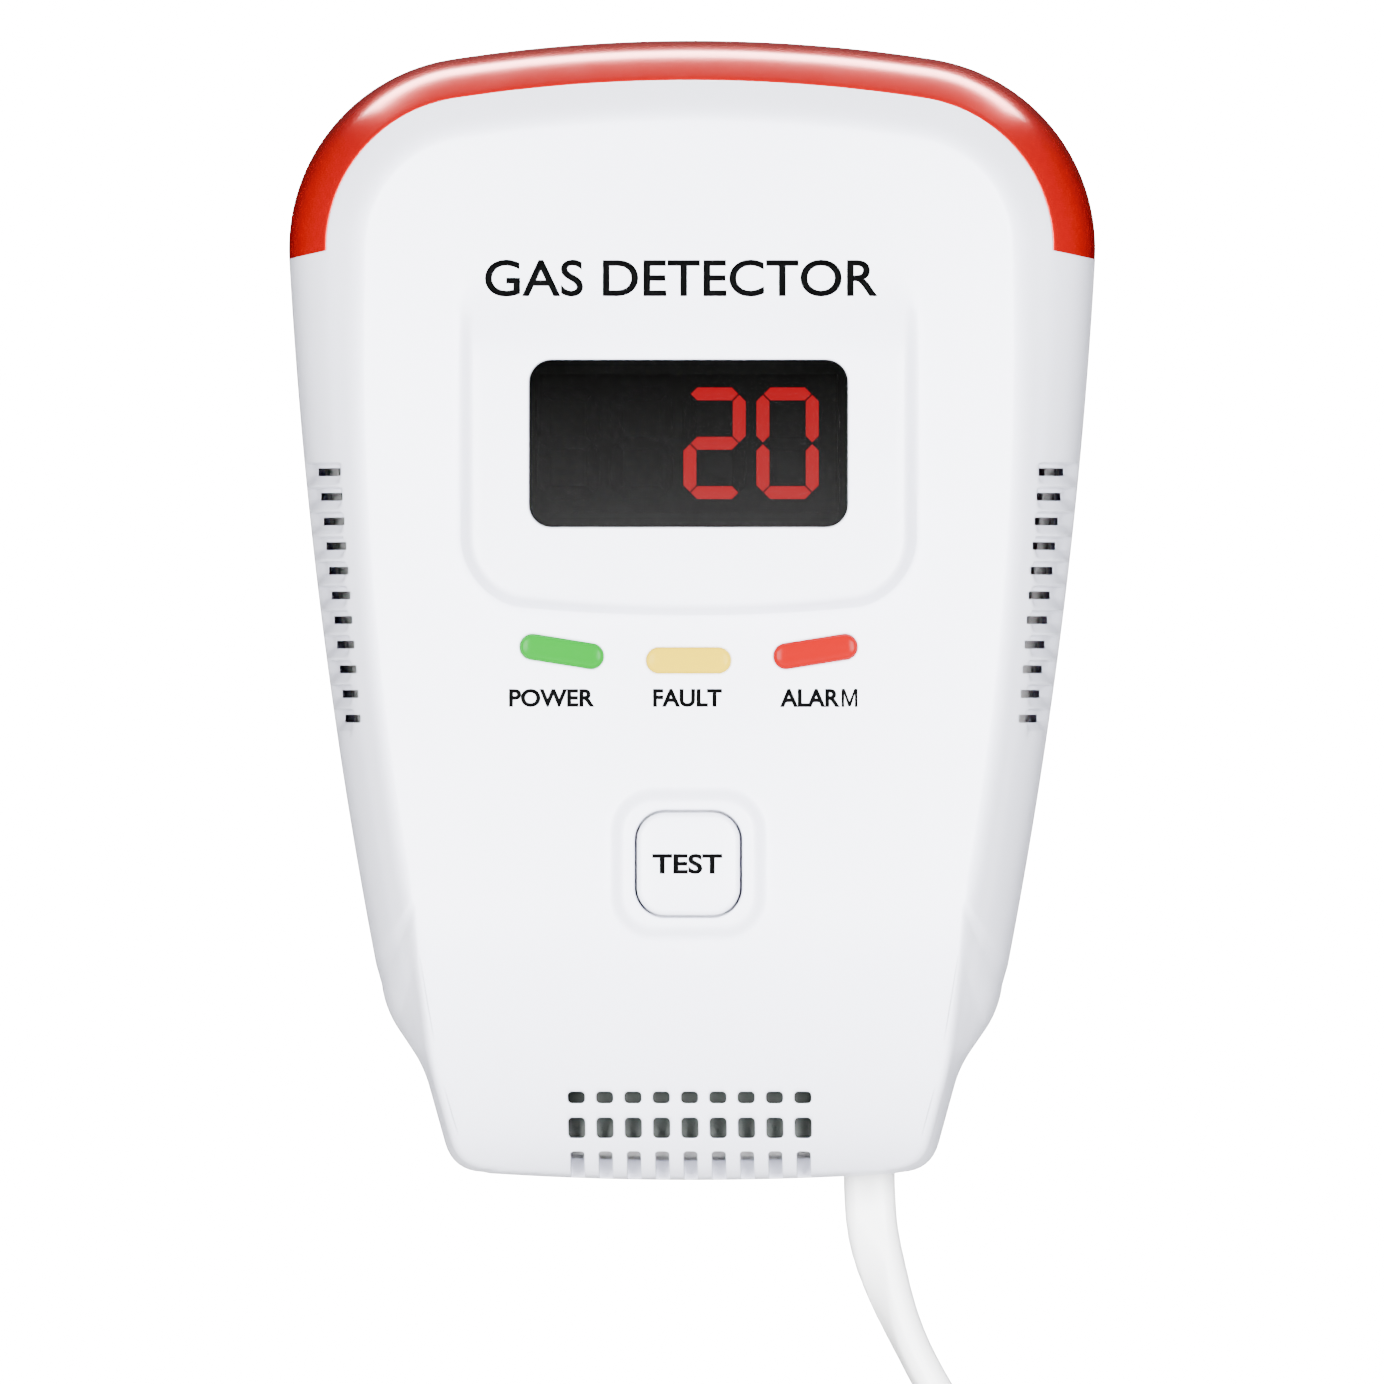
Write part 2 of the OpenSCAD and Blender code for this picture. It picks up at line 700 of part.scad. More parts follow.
module lead_wires() {
    color([0.5, 0.3, 0.2]) upright() {
        rod([19, -40.3, 6.5], [14.5, -38.4, 12], 0.7);
        rod([14.5, -38, 12] - [0, 0.2, 0], [14.5, -34.5, 12], 0.7);
        rod([16.6, -40.3, 6.5], [9.5, -38.4, 12], 0.7);
        rod([9.5, -38, 12] - [0, 0.2, 0], [9.5, -34.5, 12], 0.7);
    }
}

// ---- Fasteners and strain relief ----------------------------------------------------

module board_screws() {
    color([0.75, 0.76, 0.78]) upright() at(post_at) difference() {
        union() {
            between(board_top, board_top + 1.6) circle(2.2);
            between(12, board_top) circle(0.95);
        }
        between(board_top + 0.8, board_top + 3) {
            square([2.6, 0.6], center = true);
            square([0.6, 2.6], center = true);
        }
    }
}

module cover_screws() {
    color([0.75, 0.76, 0.78]) upright() at(cover_screw_at) difference() {
        union() {
            between(counterbore_d - screw_head_t, counterbore_d) circle(screw_head_r);
            between(counterbore_d, screw_end) circle(screw_r);
        }
        between(counterbore_d - screw_head_t - 1, counterbore_d - 1) {
            square([3.4, 0.8], center = true);
            square([0.8, 3.4], center = true);
        }
    }
}

module cord_clamp() {
    color([0.9, 0.9, 0.88]) upright() translate([cord_x, clamp_z]) difference() {
        between(cord_d + cord_t / 2, cord_d + cord_t / 2 + clamp_t)
            rounded(2 * clamp_half_l, clamp_w, 1.7);
        for (s = [-1, 1]) translate([s * clamp_post_x, 0]) between(0, 20) circle(1.1);
    }
}

module clamp_screws() {
    seat = cord_d + cord_t / 2 + clamp_t;
    color([0.75, 0.76, 0.78]) upright() for (s = [-1, 1]) translate([cord_x + s * clamp_post_x, clamp_z]) {
        between(seat, seat + 1.3) circle(clamp_head_r);
        between(4, seat) circle(0.9);
    }
}

module cord_grommet() {
    color([0.9, 0.9, 0.91]) upright() difference() {
        union() {
            along_cord(cord_w + 2.1, cord_t + 2, 2.4, grommet_z[0], grommet_z[1]);
            along_cord(cord_w + 4, cord_t + 3.6, 3.2, grommet_z[0], grommet_z[0] + 0.5);
            along_cord(cord_w + 3, cord_t + 3, 3, grommet_z[1] - 0.8, grommet_z[1]);
        }
        along_cord(cord_w + 0.3, cord_t + 0.3, 1.7, grommet_z[0] - 1, grommet_z[1] + 1);
    }
}

module rating_label() {
    color([0.8, 0.8, 0.8]) upright() translate([0, label_z])
        between(label_sink - label_t, label_sink) rounded(label_w, label_h, 1.5);
}

// ---- Cord and plug ------------------------------------------------------------------

module cord() {
    color([0.95, 0.95, 0.95]) upright() flat_cord(cord_route);
}

module cord_tail() {
    color([0.95, 0.95, 0.95]) upright() flat_cord(tail_route);
}

module cord_coil() {
    color([0.93, 0.93, 0.93]) upright() translate(coil_c) rotate_extrude($fn = 96)
        translate([coil_r, 0]) rounded(2 * coil_half_r, 2 * coil_half_t, 3);
}

module coil_ties() {
    outer = [2 * (coil_half_r + tie_t + 0.1), 2 * (coil_half_t + tie_t)];
    inner = [2 * (coil_half_r + 0.1), 2 * (coil_half_t + 0.05)];
    color([0.2, 0.2, 0.2]) upright() translate(coil_c) for (a = tie_angles)
        rotate(a) translate([coil_r, 0, 0]) rotate([90, 0, 0]) difference() {
            linear_extrude(tie_w, center = true) square(outer, center = true);
            linear_extrude(tie_w + 1, center = true) square(inner, center = true);
        }
}

// The plug hangs with its pins down; its outline widens from the cord to the face
module plug_body() {
    a = plug_neck_w / 2;
    b = plug_face_w / 2;
    color([0.94, 0.94, 0.94]) upright() translate([plug_at.x, plug_at.y]) difference() {
        between(plug_at.z - plug_t / 2, plug_at.z + plug_t / 2)
            polygon([[-a, 0], [a, 0], [a + 1, -9], [b, -22], [b, -plug_l],
                [-b, -plug_l], [-b, -22], [-a - 1, -9]]);
        for (s = [-1, 1]) translate([s * pin_pitch / 2, -plug_l - 1, plug_at.z]) rotate([-90, 0, 0])
            cylinder(r = pin_r, h = 13);
    }
}

module plug_pins() {
    tip_z = plug_at.y - plug_l - pin_l;
    color([0.75, 0.76, 0.78]) upright() for (s = [-1, 1])
        translate([plug_at.x + s * pin_pitch / 2, tip_z, plug_at.z]) rotate([-90, 0, 0]) {
            translate([0, 0, 1]) cylinder(r = pin_r, h = pin_l + 11);
            cylinder(r1 = 1.2, r2 = pin_r, h = 1);
        }
}

rear_housing();
front_cover();
alarm_lens();
display_window();
power_indicator();
fault_indicator();
alarm_indicator();
test_button();
switch_body();
switch_plunger();
main_board();
display_module();
display_segments();
indicator_leds();
strobe_leds();
microchips();
buzzer();
co_sensor();
gas_sensor();
power_module();
capacitors();
fuse();
terminal_block();
lead_wires();
board_screws();
cover_screws();
cord_clamp();
clamp_screws();
cord_grommet();
rating_label();
cord();
cord_coil();
cord_tail();
coil_ties();
plug_body();
plug_pins();
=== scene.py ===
import math

import bmesh
import bpy
import numpy as np
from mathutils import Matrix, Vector, geometry


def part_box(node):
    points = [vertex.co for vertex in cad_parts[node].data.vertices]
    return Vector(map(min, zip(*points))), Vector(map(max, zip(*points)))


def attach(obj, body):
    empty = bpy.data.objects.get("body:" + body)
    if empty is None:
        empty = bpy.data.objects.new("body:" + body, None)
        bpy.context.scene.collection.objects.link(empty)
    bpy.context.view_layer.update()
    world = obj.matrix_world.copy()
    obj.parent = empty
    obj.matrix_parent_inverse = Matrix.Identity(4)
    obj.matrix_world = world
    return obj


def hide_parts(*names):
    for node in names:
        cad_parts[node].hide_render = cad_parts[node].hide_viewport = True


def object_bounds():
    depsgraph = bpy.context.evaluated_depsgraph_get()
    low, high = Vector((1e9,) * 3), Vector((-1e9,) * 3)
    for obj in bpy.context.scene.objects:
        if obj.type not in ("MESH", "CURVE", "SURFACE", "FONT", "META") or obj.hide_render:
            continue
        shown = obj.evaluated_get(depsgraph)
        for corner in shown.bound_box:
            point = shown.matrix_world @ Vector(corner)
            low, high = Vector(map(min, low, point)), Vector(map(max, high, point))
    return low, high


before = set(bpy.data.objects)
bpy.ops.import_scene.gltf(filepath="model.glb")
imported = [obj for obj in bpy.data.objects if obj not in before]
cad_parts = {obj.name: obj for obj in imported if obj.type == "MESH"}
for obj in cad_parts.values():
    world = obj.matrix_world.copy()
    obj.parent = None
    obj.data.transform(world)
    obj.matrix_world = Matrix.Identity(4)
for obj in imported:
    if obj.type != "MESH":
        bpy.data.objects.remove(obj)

CAD_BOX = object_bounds()
MM = 0.001

# Shapes are worked out in millimetres as (x, height, depth), where depth is the distance from the wall.
# Driving dimensions that the CAD model shares; the box of each node gives the rest.
cover_low, cover_high = (np.array(c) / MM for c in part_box("front_cover"))
lens_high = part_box("alarm_lens")[1][2] / MM
BODY_W = 2 * cover_high[0] + 0.06
BODY_H = lens_high - cover_low[2]
TOP_R = 160.0
CORNER_R = 19.5
SIDE_R = 539.0
SIDE_LEAN = 3.2
STEP_Z = -40.6
WAIST = np.array([27.2, -46.4])
FOOT_X = 24.3
FOOT_R = 315.0
SHOULDER_W = 7.6
PART_D = -cover_high[1]
RIM_D = 32.5
CROWN = 2.0
FOOT_D = 15.0
CHIN_TOP = -30.0
FACE_HALF_W = 34.2
WALL = 2.0
TONGUE_Z = 0.5
TONGUE_D = 36.1
TONGUE_LEAN = math.radians(3)
BUTTON_Z = (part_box("test_button")[0][2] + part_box("test_button")[1][2]) / 2 / MM
BUTTON_W, BUTTON_R = 10.4, 2.8
WINDOW_W, WINDOW_H, WINDOW_R, WINDOW_AT = 32.1, 16.75, 2.2, (0, 16.88)
GAP = 0.2


def place(p):
    """(x, height, depth) in millimetres to the row frame in metres."""
    p = np.asarray(p, float)
    return np.stack([p[..., 0], -p[..., 2], p[..., 1]], -1) * MM


# ---- Camera, world and lights ------------------------------------------------------------

AIM = Vector((0.0001, -0.020, -0.0083))
DISTANCE = 6.0
FRAME_W = 0.1405
AZIMUTH = math.radians(1.0)


def stage():
    """A white studio: long lens, soft frontal light, and a narrow rim light over the top."""
    camera_data = bpy.data.cameras.new("camera")
    camera = bpy.data.objects.new("camera", camera_data)
    bpy.context.collection.objects.link(camera)
    camera.location = AIM + DISTANCE * Vector((math.sin(AZIMUTH), -math.cos(AZIMUTH), 0.0))
    camera.rotation_euler = (math.pi / 2, 0, AZIMUTH)
    camera_data.sensor_width = 36
    camera_data.lens = 36 * DISTANCE / FRAME_W
    camera_data.clip_start = 0.05
    bpy.context.scene.camera = camera

    world = bpy.data.worlds.new("studio")
    bpy.context.scene.world = world
    world.use_nodes = True
    nodes, links = world.node_tree.nodes, world.node_tree.links
    seen = nodes.new("ShaderNodeBackground")
    seen.inputs["Strength"].default_value = 20.0
    seen.inputs["Color"].default_value = (1, 1, 1, 1)
    felt = nodes["Background"]
    felt.inputs["Strength"].default_value = 0.15
    where = nodes.new("ShaderNodeTexCoord")
    apart = nodes.new("ShaderNodeSeparateXYZ")
    links.new(where.outputs["Generated"], apart.inputs[0])
    room = nodes.new("ShaderNodeValToRGB")
    room.color_ramp.elements[0].color = (0.08, 0.08, 0.085, 1)
    room.color_ramp.elements[1].color = (1, 1, 1, 1)
    links.new(apart.outputs["Z"], room.inputs["Fac"])
    links.new(room.outputs["Color"], felt.inputs["Color"])
    ray = nodes.new("ShaderNodeLightPath")
    mix = nodes.new("ShaderNodeMixShader")
    links.new(ray.outputs["Is Camera Ray"], mix.inputs[0])
    links.new(felt.outputs[0], mix.inputs[1])
    links.new(seen.outputs[0], mix.inputs[2])
    links.new(mix.outputs[0], nodes["World Output"].inputs["Surface"])

    for name, at, size, power, colour in (
        ("top_softbox", (0.0, -0.26, 0.6), (0.8, 0.4), 0.8, (1, 1, 1)),
        ("rim_softbox", (0.0, 0.4, 0.47), (0.75, 0.13), 24.0, (1, 1, 1)),
        ("left_softbox", (-0.29, -0.9, 0.06), (0.26, 0.34), 27.5, (1, 1, 1)),
        ("right_softbox", (0.29, -0.9, 0.06), (0.26, 0.34), 30, (0.98, 0.99, 1)),
        ("back_fill", (0.1, 0.6, 0.3), (0.6, 0.6), 3, (1, 1, 1)),
    ):
        data = bpy.data.lights.new(name, "AREA")
        data.shape = "RECTANGLE"
        data.size, data.size_y = size
        data.energy = power
        data.color = colour
        lamp = bpy.data.objects.new(name, data)
        bpy.context.collection.objects.link(lamp)
        lamp.visible_glossy = name not in ("back_fill", "top_softbox")
        lamp.visible_diffuse = name != "rim_softbox"
        lamp.location = at
        lamp.rotation_euler = (Vector((0, -0.02, -0.01)) - Vector(at)).to_track_quat("-Z", "Y").to_euler()

    floor_mesh = bpy.data.meshes.new("floor")
    ring = [(0.7 * math.cos(a), 0.7 * math.sin(a) - 0.1, CAD_BOX[0][2] - 0.004)
            for a in np.linspace(0, 2 * math.pi, 96, endpoint=False)]
    floor_mesh.from_pydata(ring, [], [range(96)])
    floor = bpy.data.objects.new("floor", floor_mesh)
    bpy.context.collection.objects.link(floor)
    material = surface("floor_paper", (0.88, 0.88, 0.88), 0.6, vary=0.02, grain=900, bump=0.1)
    floor.data.materials.append(material)


# ---- Materials ---------------------------------------------------------------------------


def surface(name, colour, rough, vary=0.03, grain=1500.0, bump=0.15, rough_vary=0.06, blotch=60.0,
            edge=0.0, sockets=()):
    """A procedural surface: soft colour variation, a fine moulded grain and uneven gloss."""
    material = bpy.data.materials.new(name)
    material.use_nodes = True
    nodes, links = material.node_tree.nodes, material.node_tree.links
    shader = nodes["Principled BSDF"]
    where = nodes.new("ShaderNodeTexCoord")

    def noise(scale, detail):
        texture = nodes.new("ShaderNodeTexNoise")
        texture.inputs["Scale"].default_value = scale
        texture.inputs["Detail"].default_value = detail
        links.new(where.outputs["Object"], texture.inputs["Vector"])
        return texture

    broad = noise(blotch, 3.0)
    ramp = nodes.new("ShaderNodeValToRGB")
    ramp.color_ramp.elements[0].position = 0.3
    ramp.color_ramp.elements[1].position = 0.7
    for element, shade in zip(ramp.color_ramp.elements, (1 - vary, 1 + vary), strict=True):
        element.color = (*[min(1.0, c * shade) for c in colour], 1)
    links.new(broad.outputs["Fac"], ramp.inputs["Fac"])
    links.new(ramp.outputs["Color"], shader.inputs["Base Color"])
    fine = noise(grain, 4.0)
    gloss = nodes.new("ShaderNodeMapRange")
    gloss.inputs["To Min"].default_value = max(0.02, rough - rough_vary)
    gloss.inputs["To Max"].default_value = min(1.0, rough + rough_vary)
    links.new(fine.outputs["Fac"], gloss.inputs["Value"])
    links.new(gloss.outputs["Result"], shader.inputs["Roughness"])
    relief = nodes.new("ShaderNodeBump")
    relief.inputs["Strength"].default_value = bump
    relief.inputs["Distance"].default_value = 0.0001
    links.new(fine.outputs["Fac"], relief.inputs["Height"])
    if edge:
        soft = nodes.new("ShaderNodeBevel")
        soft.samples = 4
        soft.inputs["Radius"].default_value = edge * MM
        links.new(soft.outputs["Normal"], relief.inputs["Normal"])
    links.new(relief.outputs["Normal"], shader.inputs["Normal"])
    for socket, value in dict(sockets).items():
        shader.inputs[socket].default_value = value
    return material


def smoked_glass_painted_reflection():
    """Dark acrylic: a tinted see-through body under a polished surface, with a painted reflection that makes
    it a little greyer low down.
    """
    material = surface("smoked_acrylic_painted_reflection", (0.01, 0.01, 0.01), 0.05, vary=0.2, grain=200, bump=0.01,
                       rough_vary=0.02, sockets={"Specular IOR Level": 0.015})
    nodes, links = material.node_tree.nodes, material.node_tree.links
    where = nodes.new("ShaderNodeTexCoord")
    apart = nodes.new("ShaderNodeSeparateXYZ")
    links.new(where.outputs["Object"], apart.inputs[0])
    # Painted reflection: the base colour goes greyer towards the bottom of the pane and nearly black at its
    # top.
    painted_reflection_fade = nodes.new("ShaderNodeMapRange")
    painted_reflection_fade.inputs["From Min"].default_value = 0.0085
    painted_reflection_fade.inputs["From Max"].default_value = 0.0253
    links.new(apart.outputs["Z"], painted_reflection_fade.inputs["Value"])
    ramp = nodes.new("ShaderNodeValToRGB")
    for element, at, shade in zip(ramp.color_ramp.elements, (0.0, 1.0), (0.0125, 0.0006), strict=True):
        element.position = at
        element.color = (shade, shade, shade, 1)
    links.new(painted_reflection_fade.outputs["Result"], ramp.inputs["Fac"])
    links.new(ramp.outputs["Color"], nodes["Principled BSDF"].inputs["Base Color"])
    clear = nodes.new("ShaderNodeBsdfTransparent")
    clear.inputs["Color"].default_value = (0.75, 0.75, 0.76, 1)
    mix = nodes.new("ShaderNodeMixShader")
    mix.inputs[0].default_value = 0.5
    links.new(clear.outputs[0], mix.inputs[1])
    links.new(nodes["Principled BSDF"].outputs[0], mix.inputs[2])
    links.new(mix.outputs[0], nodes["Material Output"].inputs["Surface"])
    return material


stage()
CORD = surface("cord_jacket", (0.87, 0.87, 0.88), 0.38, grain=900, bump=0.12)

# ---- Meshes ------------------------------------------------------------------------------


def thing(name, points, faces, material, body="housing", replaces=(), slot=None, sharp=38):
    """Makes an object from points in millimetres, with smooth shading and crisp edges."""
    mesh = bpy.data.meshes.new(name)
    mesh.from_pydata(place(points).tolist(), [], [list(map(int, f)) for f in faces])
    mesh.validate()
    mesh.update()
    mesh.shade_smooth()
    mesh.set_sharp_from_angle(angle=math.radians(sharp))
    piece = bpy.data.objects.new(name, mesh)
    bpy.context.collection.objects.link(piece)
    mesh.materials.append(material)
    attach(piece, body)
    if replaces:
        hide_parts(*replaces)
    return piece


def loft(rings, caps=(True, True), closed=True):
    """Points and faces of a skin through rings of equally many points."""
    rings = np.asarray(rings, float)
    m, n = rings.shape[:2]
    faces = [(j * n + i, j * n + (i + 1) % n, (j + 1) * n + (i + 1) % n, (j + 1) * n + i)
             for j in range(m - 1) for i in range(n if closed else n - 1)]
    if caps[0]:
        faces.append(tuple(range(n - 1, -1, -1)))
    if caps[1]:
        faces.append(tuple((m - 1) * n + i for i in range(n)))
    return rings.reshape(-1, 3), faces


def smooth(t):
    t = np.clip(t, 0, 1)
    return t * t * (3 - 2 * t)


def curve_through(points, spacing):
    """Evenly spaced points on a smooth curve through the given ones."""
    p = np.asarray(points, float)
    p = np.vstack([2 * p[0] - p[1], p, 2 * p[-1] - p[-2]])
    out = []
    for a, b, c, d in zip(p[:-3], p[1:-2], p[2:-1], p[3:], strict=True):
        for t in np.arange(12) / 12:
            out.append(0.5 * (2 * b + (c - a) * t + (2 * a - 5 * b + 4 * c - d) * t**2
                              + (3 * b - a - 3 * c + d) * t**3))
    out = np.array([*out, p[-2]])
    run = np.r_[0, np.cumsum(np.linalg.norm(np.diff(out, axis=0), axis=1))]
    at = np.linspace(0, run[-1], max(2, round(run[-1] / spacing)))
    return np.stack([np.interp(at, run, out[:, k]) for k in range(3)], -1)


# ---- Outlines of the body ----------------------------------------------------------------

TOP_C = BODY_H / 2 - TOP_R
CORNER_X = BODY_W / 2 - CORNER_R
CORNER_C = np.array([CORNER_X, TOP_C + math.sqrt((TOP_R - CORNER_R) ** 2 - CORNER_X**2)])
TOP_ANGLE = math.asin(CORNER_X / (TOP_R - CORNER_R))
SHOULDER = np.array([[0, 0], [0.02, 0.2], [0.08, 0.4], [0.22, 0.57], [0.5, 0.76], [0.76, 0.89], [1, 1]])
SEAM_D = PART_D + 0.2
LOUVRE_TOP, LOUVRE_PITCH, LOUVRES, SLIT_H = 14.0, 2.5, 11, 0.8


def foot_z(x):
    return -BODY_H / 2 + np.asarray(x) ** 2 / (2 * FOOT_R)


def arc(c, r, a):
    return np.asarray(c) + r * np.stack([np.sin(a), np.cos(a)], -1)


def bend(a, b, c, reach, n=9):
    a, b, c = map(np.asarray, (a, b, c))
    p = b + reach * (a - b) / np.linalg.norm(a - b)
    q = b + reach * (c - b) / np.linalg.norm(c - b)
    t = np.linspace(0, 1, n)[:, None]
    return (1 - t) ** 2 * p + 2 * t * (1 - t) * b + t**2 * q


def half_outline(r, lean, long_r, end_z, waist, foot, rise, shares):
    """Half an outline, clockwise from the middle of the top to the middle of the foot."""
    lean = math.radians(lean)
    out = np.array([math.cos(lean), -math.sin(lean)])
    start = CORNER_C + r * out
    c = start - long_r * out
    end_a = math.acos((end_z - c[1]) / long_r)
    step = c + long_r * np.array([math.sin(end_a), math.cos(end_a)])
    first, last = math.pi / 2 + lean, end_a - 0.007
    middle = np.array([0, -BODY_H / 2 + rise])
    x = (foot[0] - 3) * (1 - np.arange(1, 28) / 28)
    return np.vstack([
        arc((0, TOP_C), r + TOP_R - CORNER_R, TOP_ANGLE * np.arange(28) / 28),
        arc(CORNER_C, r, TOP_ANGLE + (first - TOP_ANGLE) * np.arange(34) / 34),
        arc(c, long_r, first + (last - first) * shares),
        bend(start, step, waist, 2.6), bend(step, waist, foot, 2), bend(waist, foot, middle, 3),
        np.stack([x, foot_z(x) + rise], -1), [middle]])


def whole(half):
    return np.vstack([half, half[-2:0:-1] * [-1, 1]])


def at_height(z, top, low):
    return (top - z) / (top - low)


# Along the sides both outlines are walked at the same height, so that the louvres run level
louvre_zone = np.arange(16.4, -13.6, -0.14)
walk = np.r_[np.linspace(0, at_height(16.4, 35.65, -40.6), 22)[:-1], at_height(louvre_zone, 35.65, -40.6),
             np.linspace(at_height(-13.6, 35.65, -40.6), 1, 30)[1:-1]]
BODY = whole(half_outline(CORNER_R, SIDE_LEAN, SIDE_R, STEP_Z, WAIST, (FOOT_X, foot_z(FOOT_X)), 0, walk))
side_at = slice(62, 62 + len(walk))
body_z = BODY[side_at, 1]
level = at_height(body_z, 37.16, -33.0)
ease = smooth(walk / 0.2) * smooth((1 - walk) / 0.3)
face_walk = walk + ease * (level - walk)
for _ in range(3):
    trial = half_outline(CORNER_R - SHOULDER_W, -2, 310, -33, WAIST - [0.9, -0.2],
                         (FOOT_X - 0.9, foot_z(FOOT_X) + 0.35), 0.35, face_walk)[side_at]
    face_walk = face_walk + ease * (trial[:, 1] - body_z) / 70.2
FACE = whole(half_outline(CORNER_R - SHOULDER_W, -2, 310, -33, WAIST - [0.9, -0.2],
                          (FOOT_X - 0.9, foot_z(FOOT_X) + 0.35), 0.35, face_walk))
RING_N = len(BODY)
ACROSS = BODY - FACE
SHOULDER_AT = np.linalg.norm(ACROSS, axis=1)
ACROSS = ACROSS / SHOULDER_AT[:, None]


def face_d(x, z):
    """Depth of the crowned front face."""
    x, z = np.asarray(x, float), np.asarray(z, float)
    rise = CROWN * (1 - (x / FACE_HALF_W) ** 2) * np.where(z > 0, 1 - (z / (BODY_H / 2)) ** 2, 1)
    d = RIM_D + np.maximum(0, rise)
    chin = np.sqrt(np.maximum(0.02, 1 - ((CHIN_TOP - z) / (BODY_H / 2 + CHIN_TOP + 0.6)) ** 2))
    return np.where(z > CHIN_TOP, d, FOOT_D + (d - FOOT_D) * chin)


def box_distance(x, z, w, h, r):
    """Signed distance to a rounded rectangle about the middle, negative inside it."""
    px, pz = np.abs(x) - w / 2 + r, np.abs(z) - h / 2 + r
    return np.hypot(np.maximum(px, 0), np.maximum(pz, 0)) + np.minimum(np.maximum(px, pz), 0) - r


TONGUE_W, TONGUE_H, TONGUE_EDGE = 46.6, 33.0, 1.5
PAD_W, PAD_H, PAD_R, PAD_D, PAD_EDGE = 16.0, 15.5, 4.5, 35.5, 1.5


def tongue_distance(x, z):
    sides = box_distance(x, z - TONGUE_Z - TONGUE_H / 2 + 2, TONGUE_W, TONGUE_H + 8, 4)
    low = np.hypot(x, z - TONGUE_Z + 1.4 - 150) - 150
    r = 6.5
    return np.minimum(np.maximum(sides, low), -r) + np.hypot(np.maximum(sides + r, 0), np.maximum(low + r, 0))


def front_d(x, z):
    """Depth of the face with the raised tongue and the pad round the button."""
    base = face_d(x, z)
    tongue = TONGUE_D - (z - TONGUE_Z) * math.tan(TONGUE_LEAN)
    up = smooth(-tongue_distance(x, z) / TONGUE_EDGE) * smooth((34.5 - z) / 9)
    d = base + np.maximum(0, tongue - base) * up
    return d + (PAD_D - base) * smooth(-box_distance(x, z - BUTTON_Z, PAD_W, PAD_H, PAD_R) / PAD_EDGE)


def ring_of(w, h, r, n=10, at=(0, 0), tilt=0.0):
    """A rounded rectangle as points, counter-clockwise."""
    out = []
    for k, (sx, sz) in enumerate(((1, 1), (-1, 1), (-1, -1), (1, -1))):
        a = math.radians(90 * k) + np.linspace(0, math.pi / 2, n)
        out.append(np.stack([sx * (w / 2 - r) + r * np.cos(a), sz * (h / 2 - r) + r * np.sin(a)], -1))
    p = np.vstack(out)
    c, s = math.cos(math.radians(tilt)), math.sin(math.radians(tilt))
    return p @ np.array([[c, s], [-s, c]]) + np.asarray(at)


def with_depth(ring, d):
    return np.column_stack([ring, np.broadcast_to(d, len(ring))])


def cut(piece, cutters, mode="DIFFERENCE"):
    """Applies each cutter to the piece for good."""
    for points, faces in cutters:
        mesh = bpy.data.meshes.new("cutter")
        mesh.from_pydata(place(points).tolist(), [], [list(map(int, f)) for f in faces])
        tool = bpy.data.objects.new("cutter", mesh)
        bpy.context.collection.objects.link(tool)
        step = piece.modifiers.new("cut", "BOOLEAN")
        step.operation, step.solver, step.object = mode, "MANIFOLD", tool
        bpy.context.view_layer.update()
        result = bpy.data.meshes.new_from_object(piece.evaluated_get(bpy.context.evaluated_depsgraph_get()))
        piece.modifiers.clear()
        piece.data = result
        bpy.data.objects.remove(tool)
    piece.data.shade_smooth()
    piece.data.set_sharp_from_angle(angle=math.radians(32))
    return piece


def prism(ring, d0, d1):
    """A cutter with this outline from one depth to another."""
    return loft([with_depth(ring, d0), with_depth(ring, d1)])


# ---- Front cover -------------------------------------------------------------------------


def profile(n):
    """The shoulder's section as shares, from the seam up to the face, evenly walked."""
    p = curve_through(np.column_stack([SHOULDER * [SHOULDER_W, RIM_D - PART_D], np.zeros(7)]), 0.2)[:, :2]
    run = np.r_[0, np.cumsum(np.linalg.norm(np.diff(p, axis=0), axis=1))]
    at = np.linspace(0, run[-1], n)
    p = np.stack([np.interp(at, run, p[:, k]) for k in range(2)], -1)
    p[-1] = [SHOULDER_W, RIM_D - PART_D]
    return p / [SHOULDER_W, RIM_D - PART_D]


def recess(x, z, d):
    """How far a point of the flank sinks for the louvre it lies in."""
    k = np.round((LOUVRE_TOP - z) / LOUVRE_PITCH)
    above = z - (LOUVRE_TOP - k * LOUVRE_PITCH) + SLIT_H / 2
    k_ok = (k >= 0) & (k < LOUVRES)
    shape = np.where(above < 0, 1 + above / 0.95, np.where(above < 1.2, 1, 1 - (above - 1.2) / 0.15))
    inner = 35.4 - 1.4 * np.clip(k, 0, LOUVRES) / LOUVRES
    return 0.95 * np.clip(shape, 0, 1) * k_ok * smooth((np.abs(x) - inner) / 0.7) * smooth((d - 14.5) / 6)


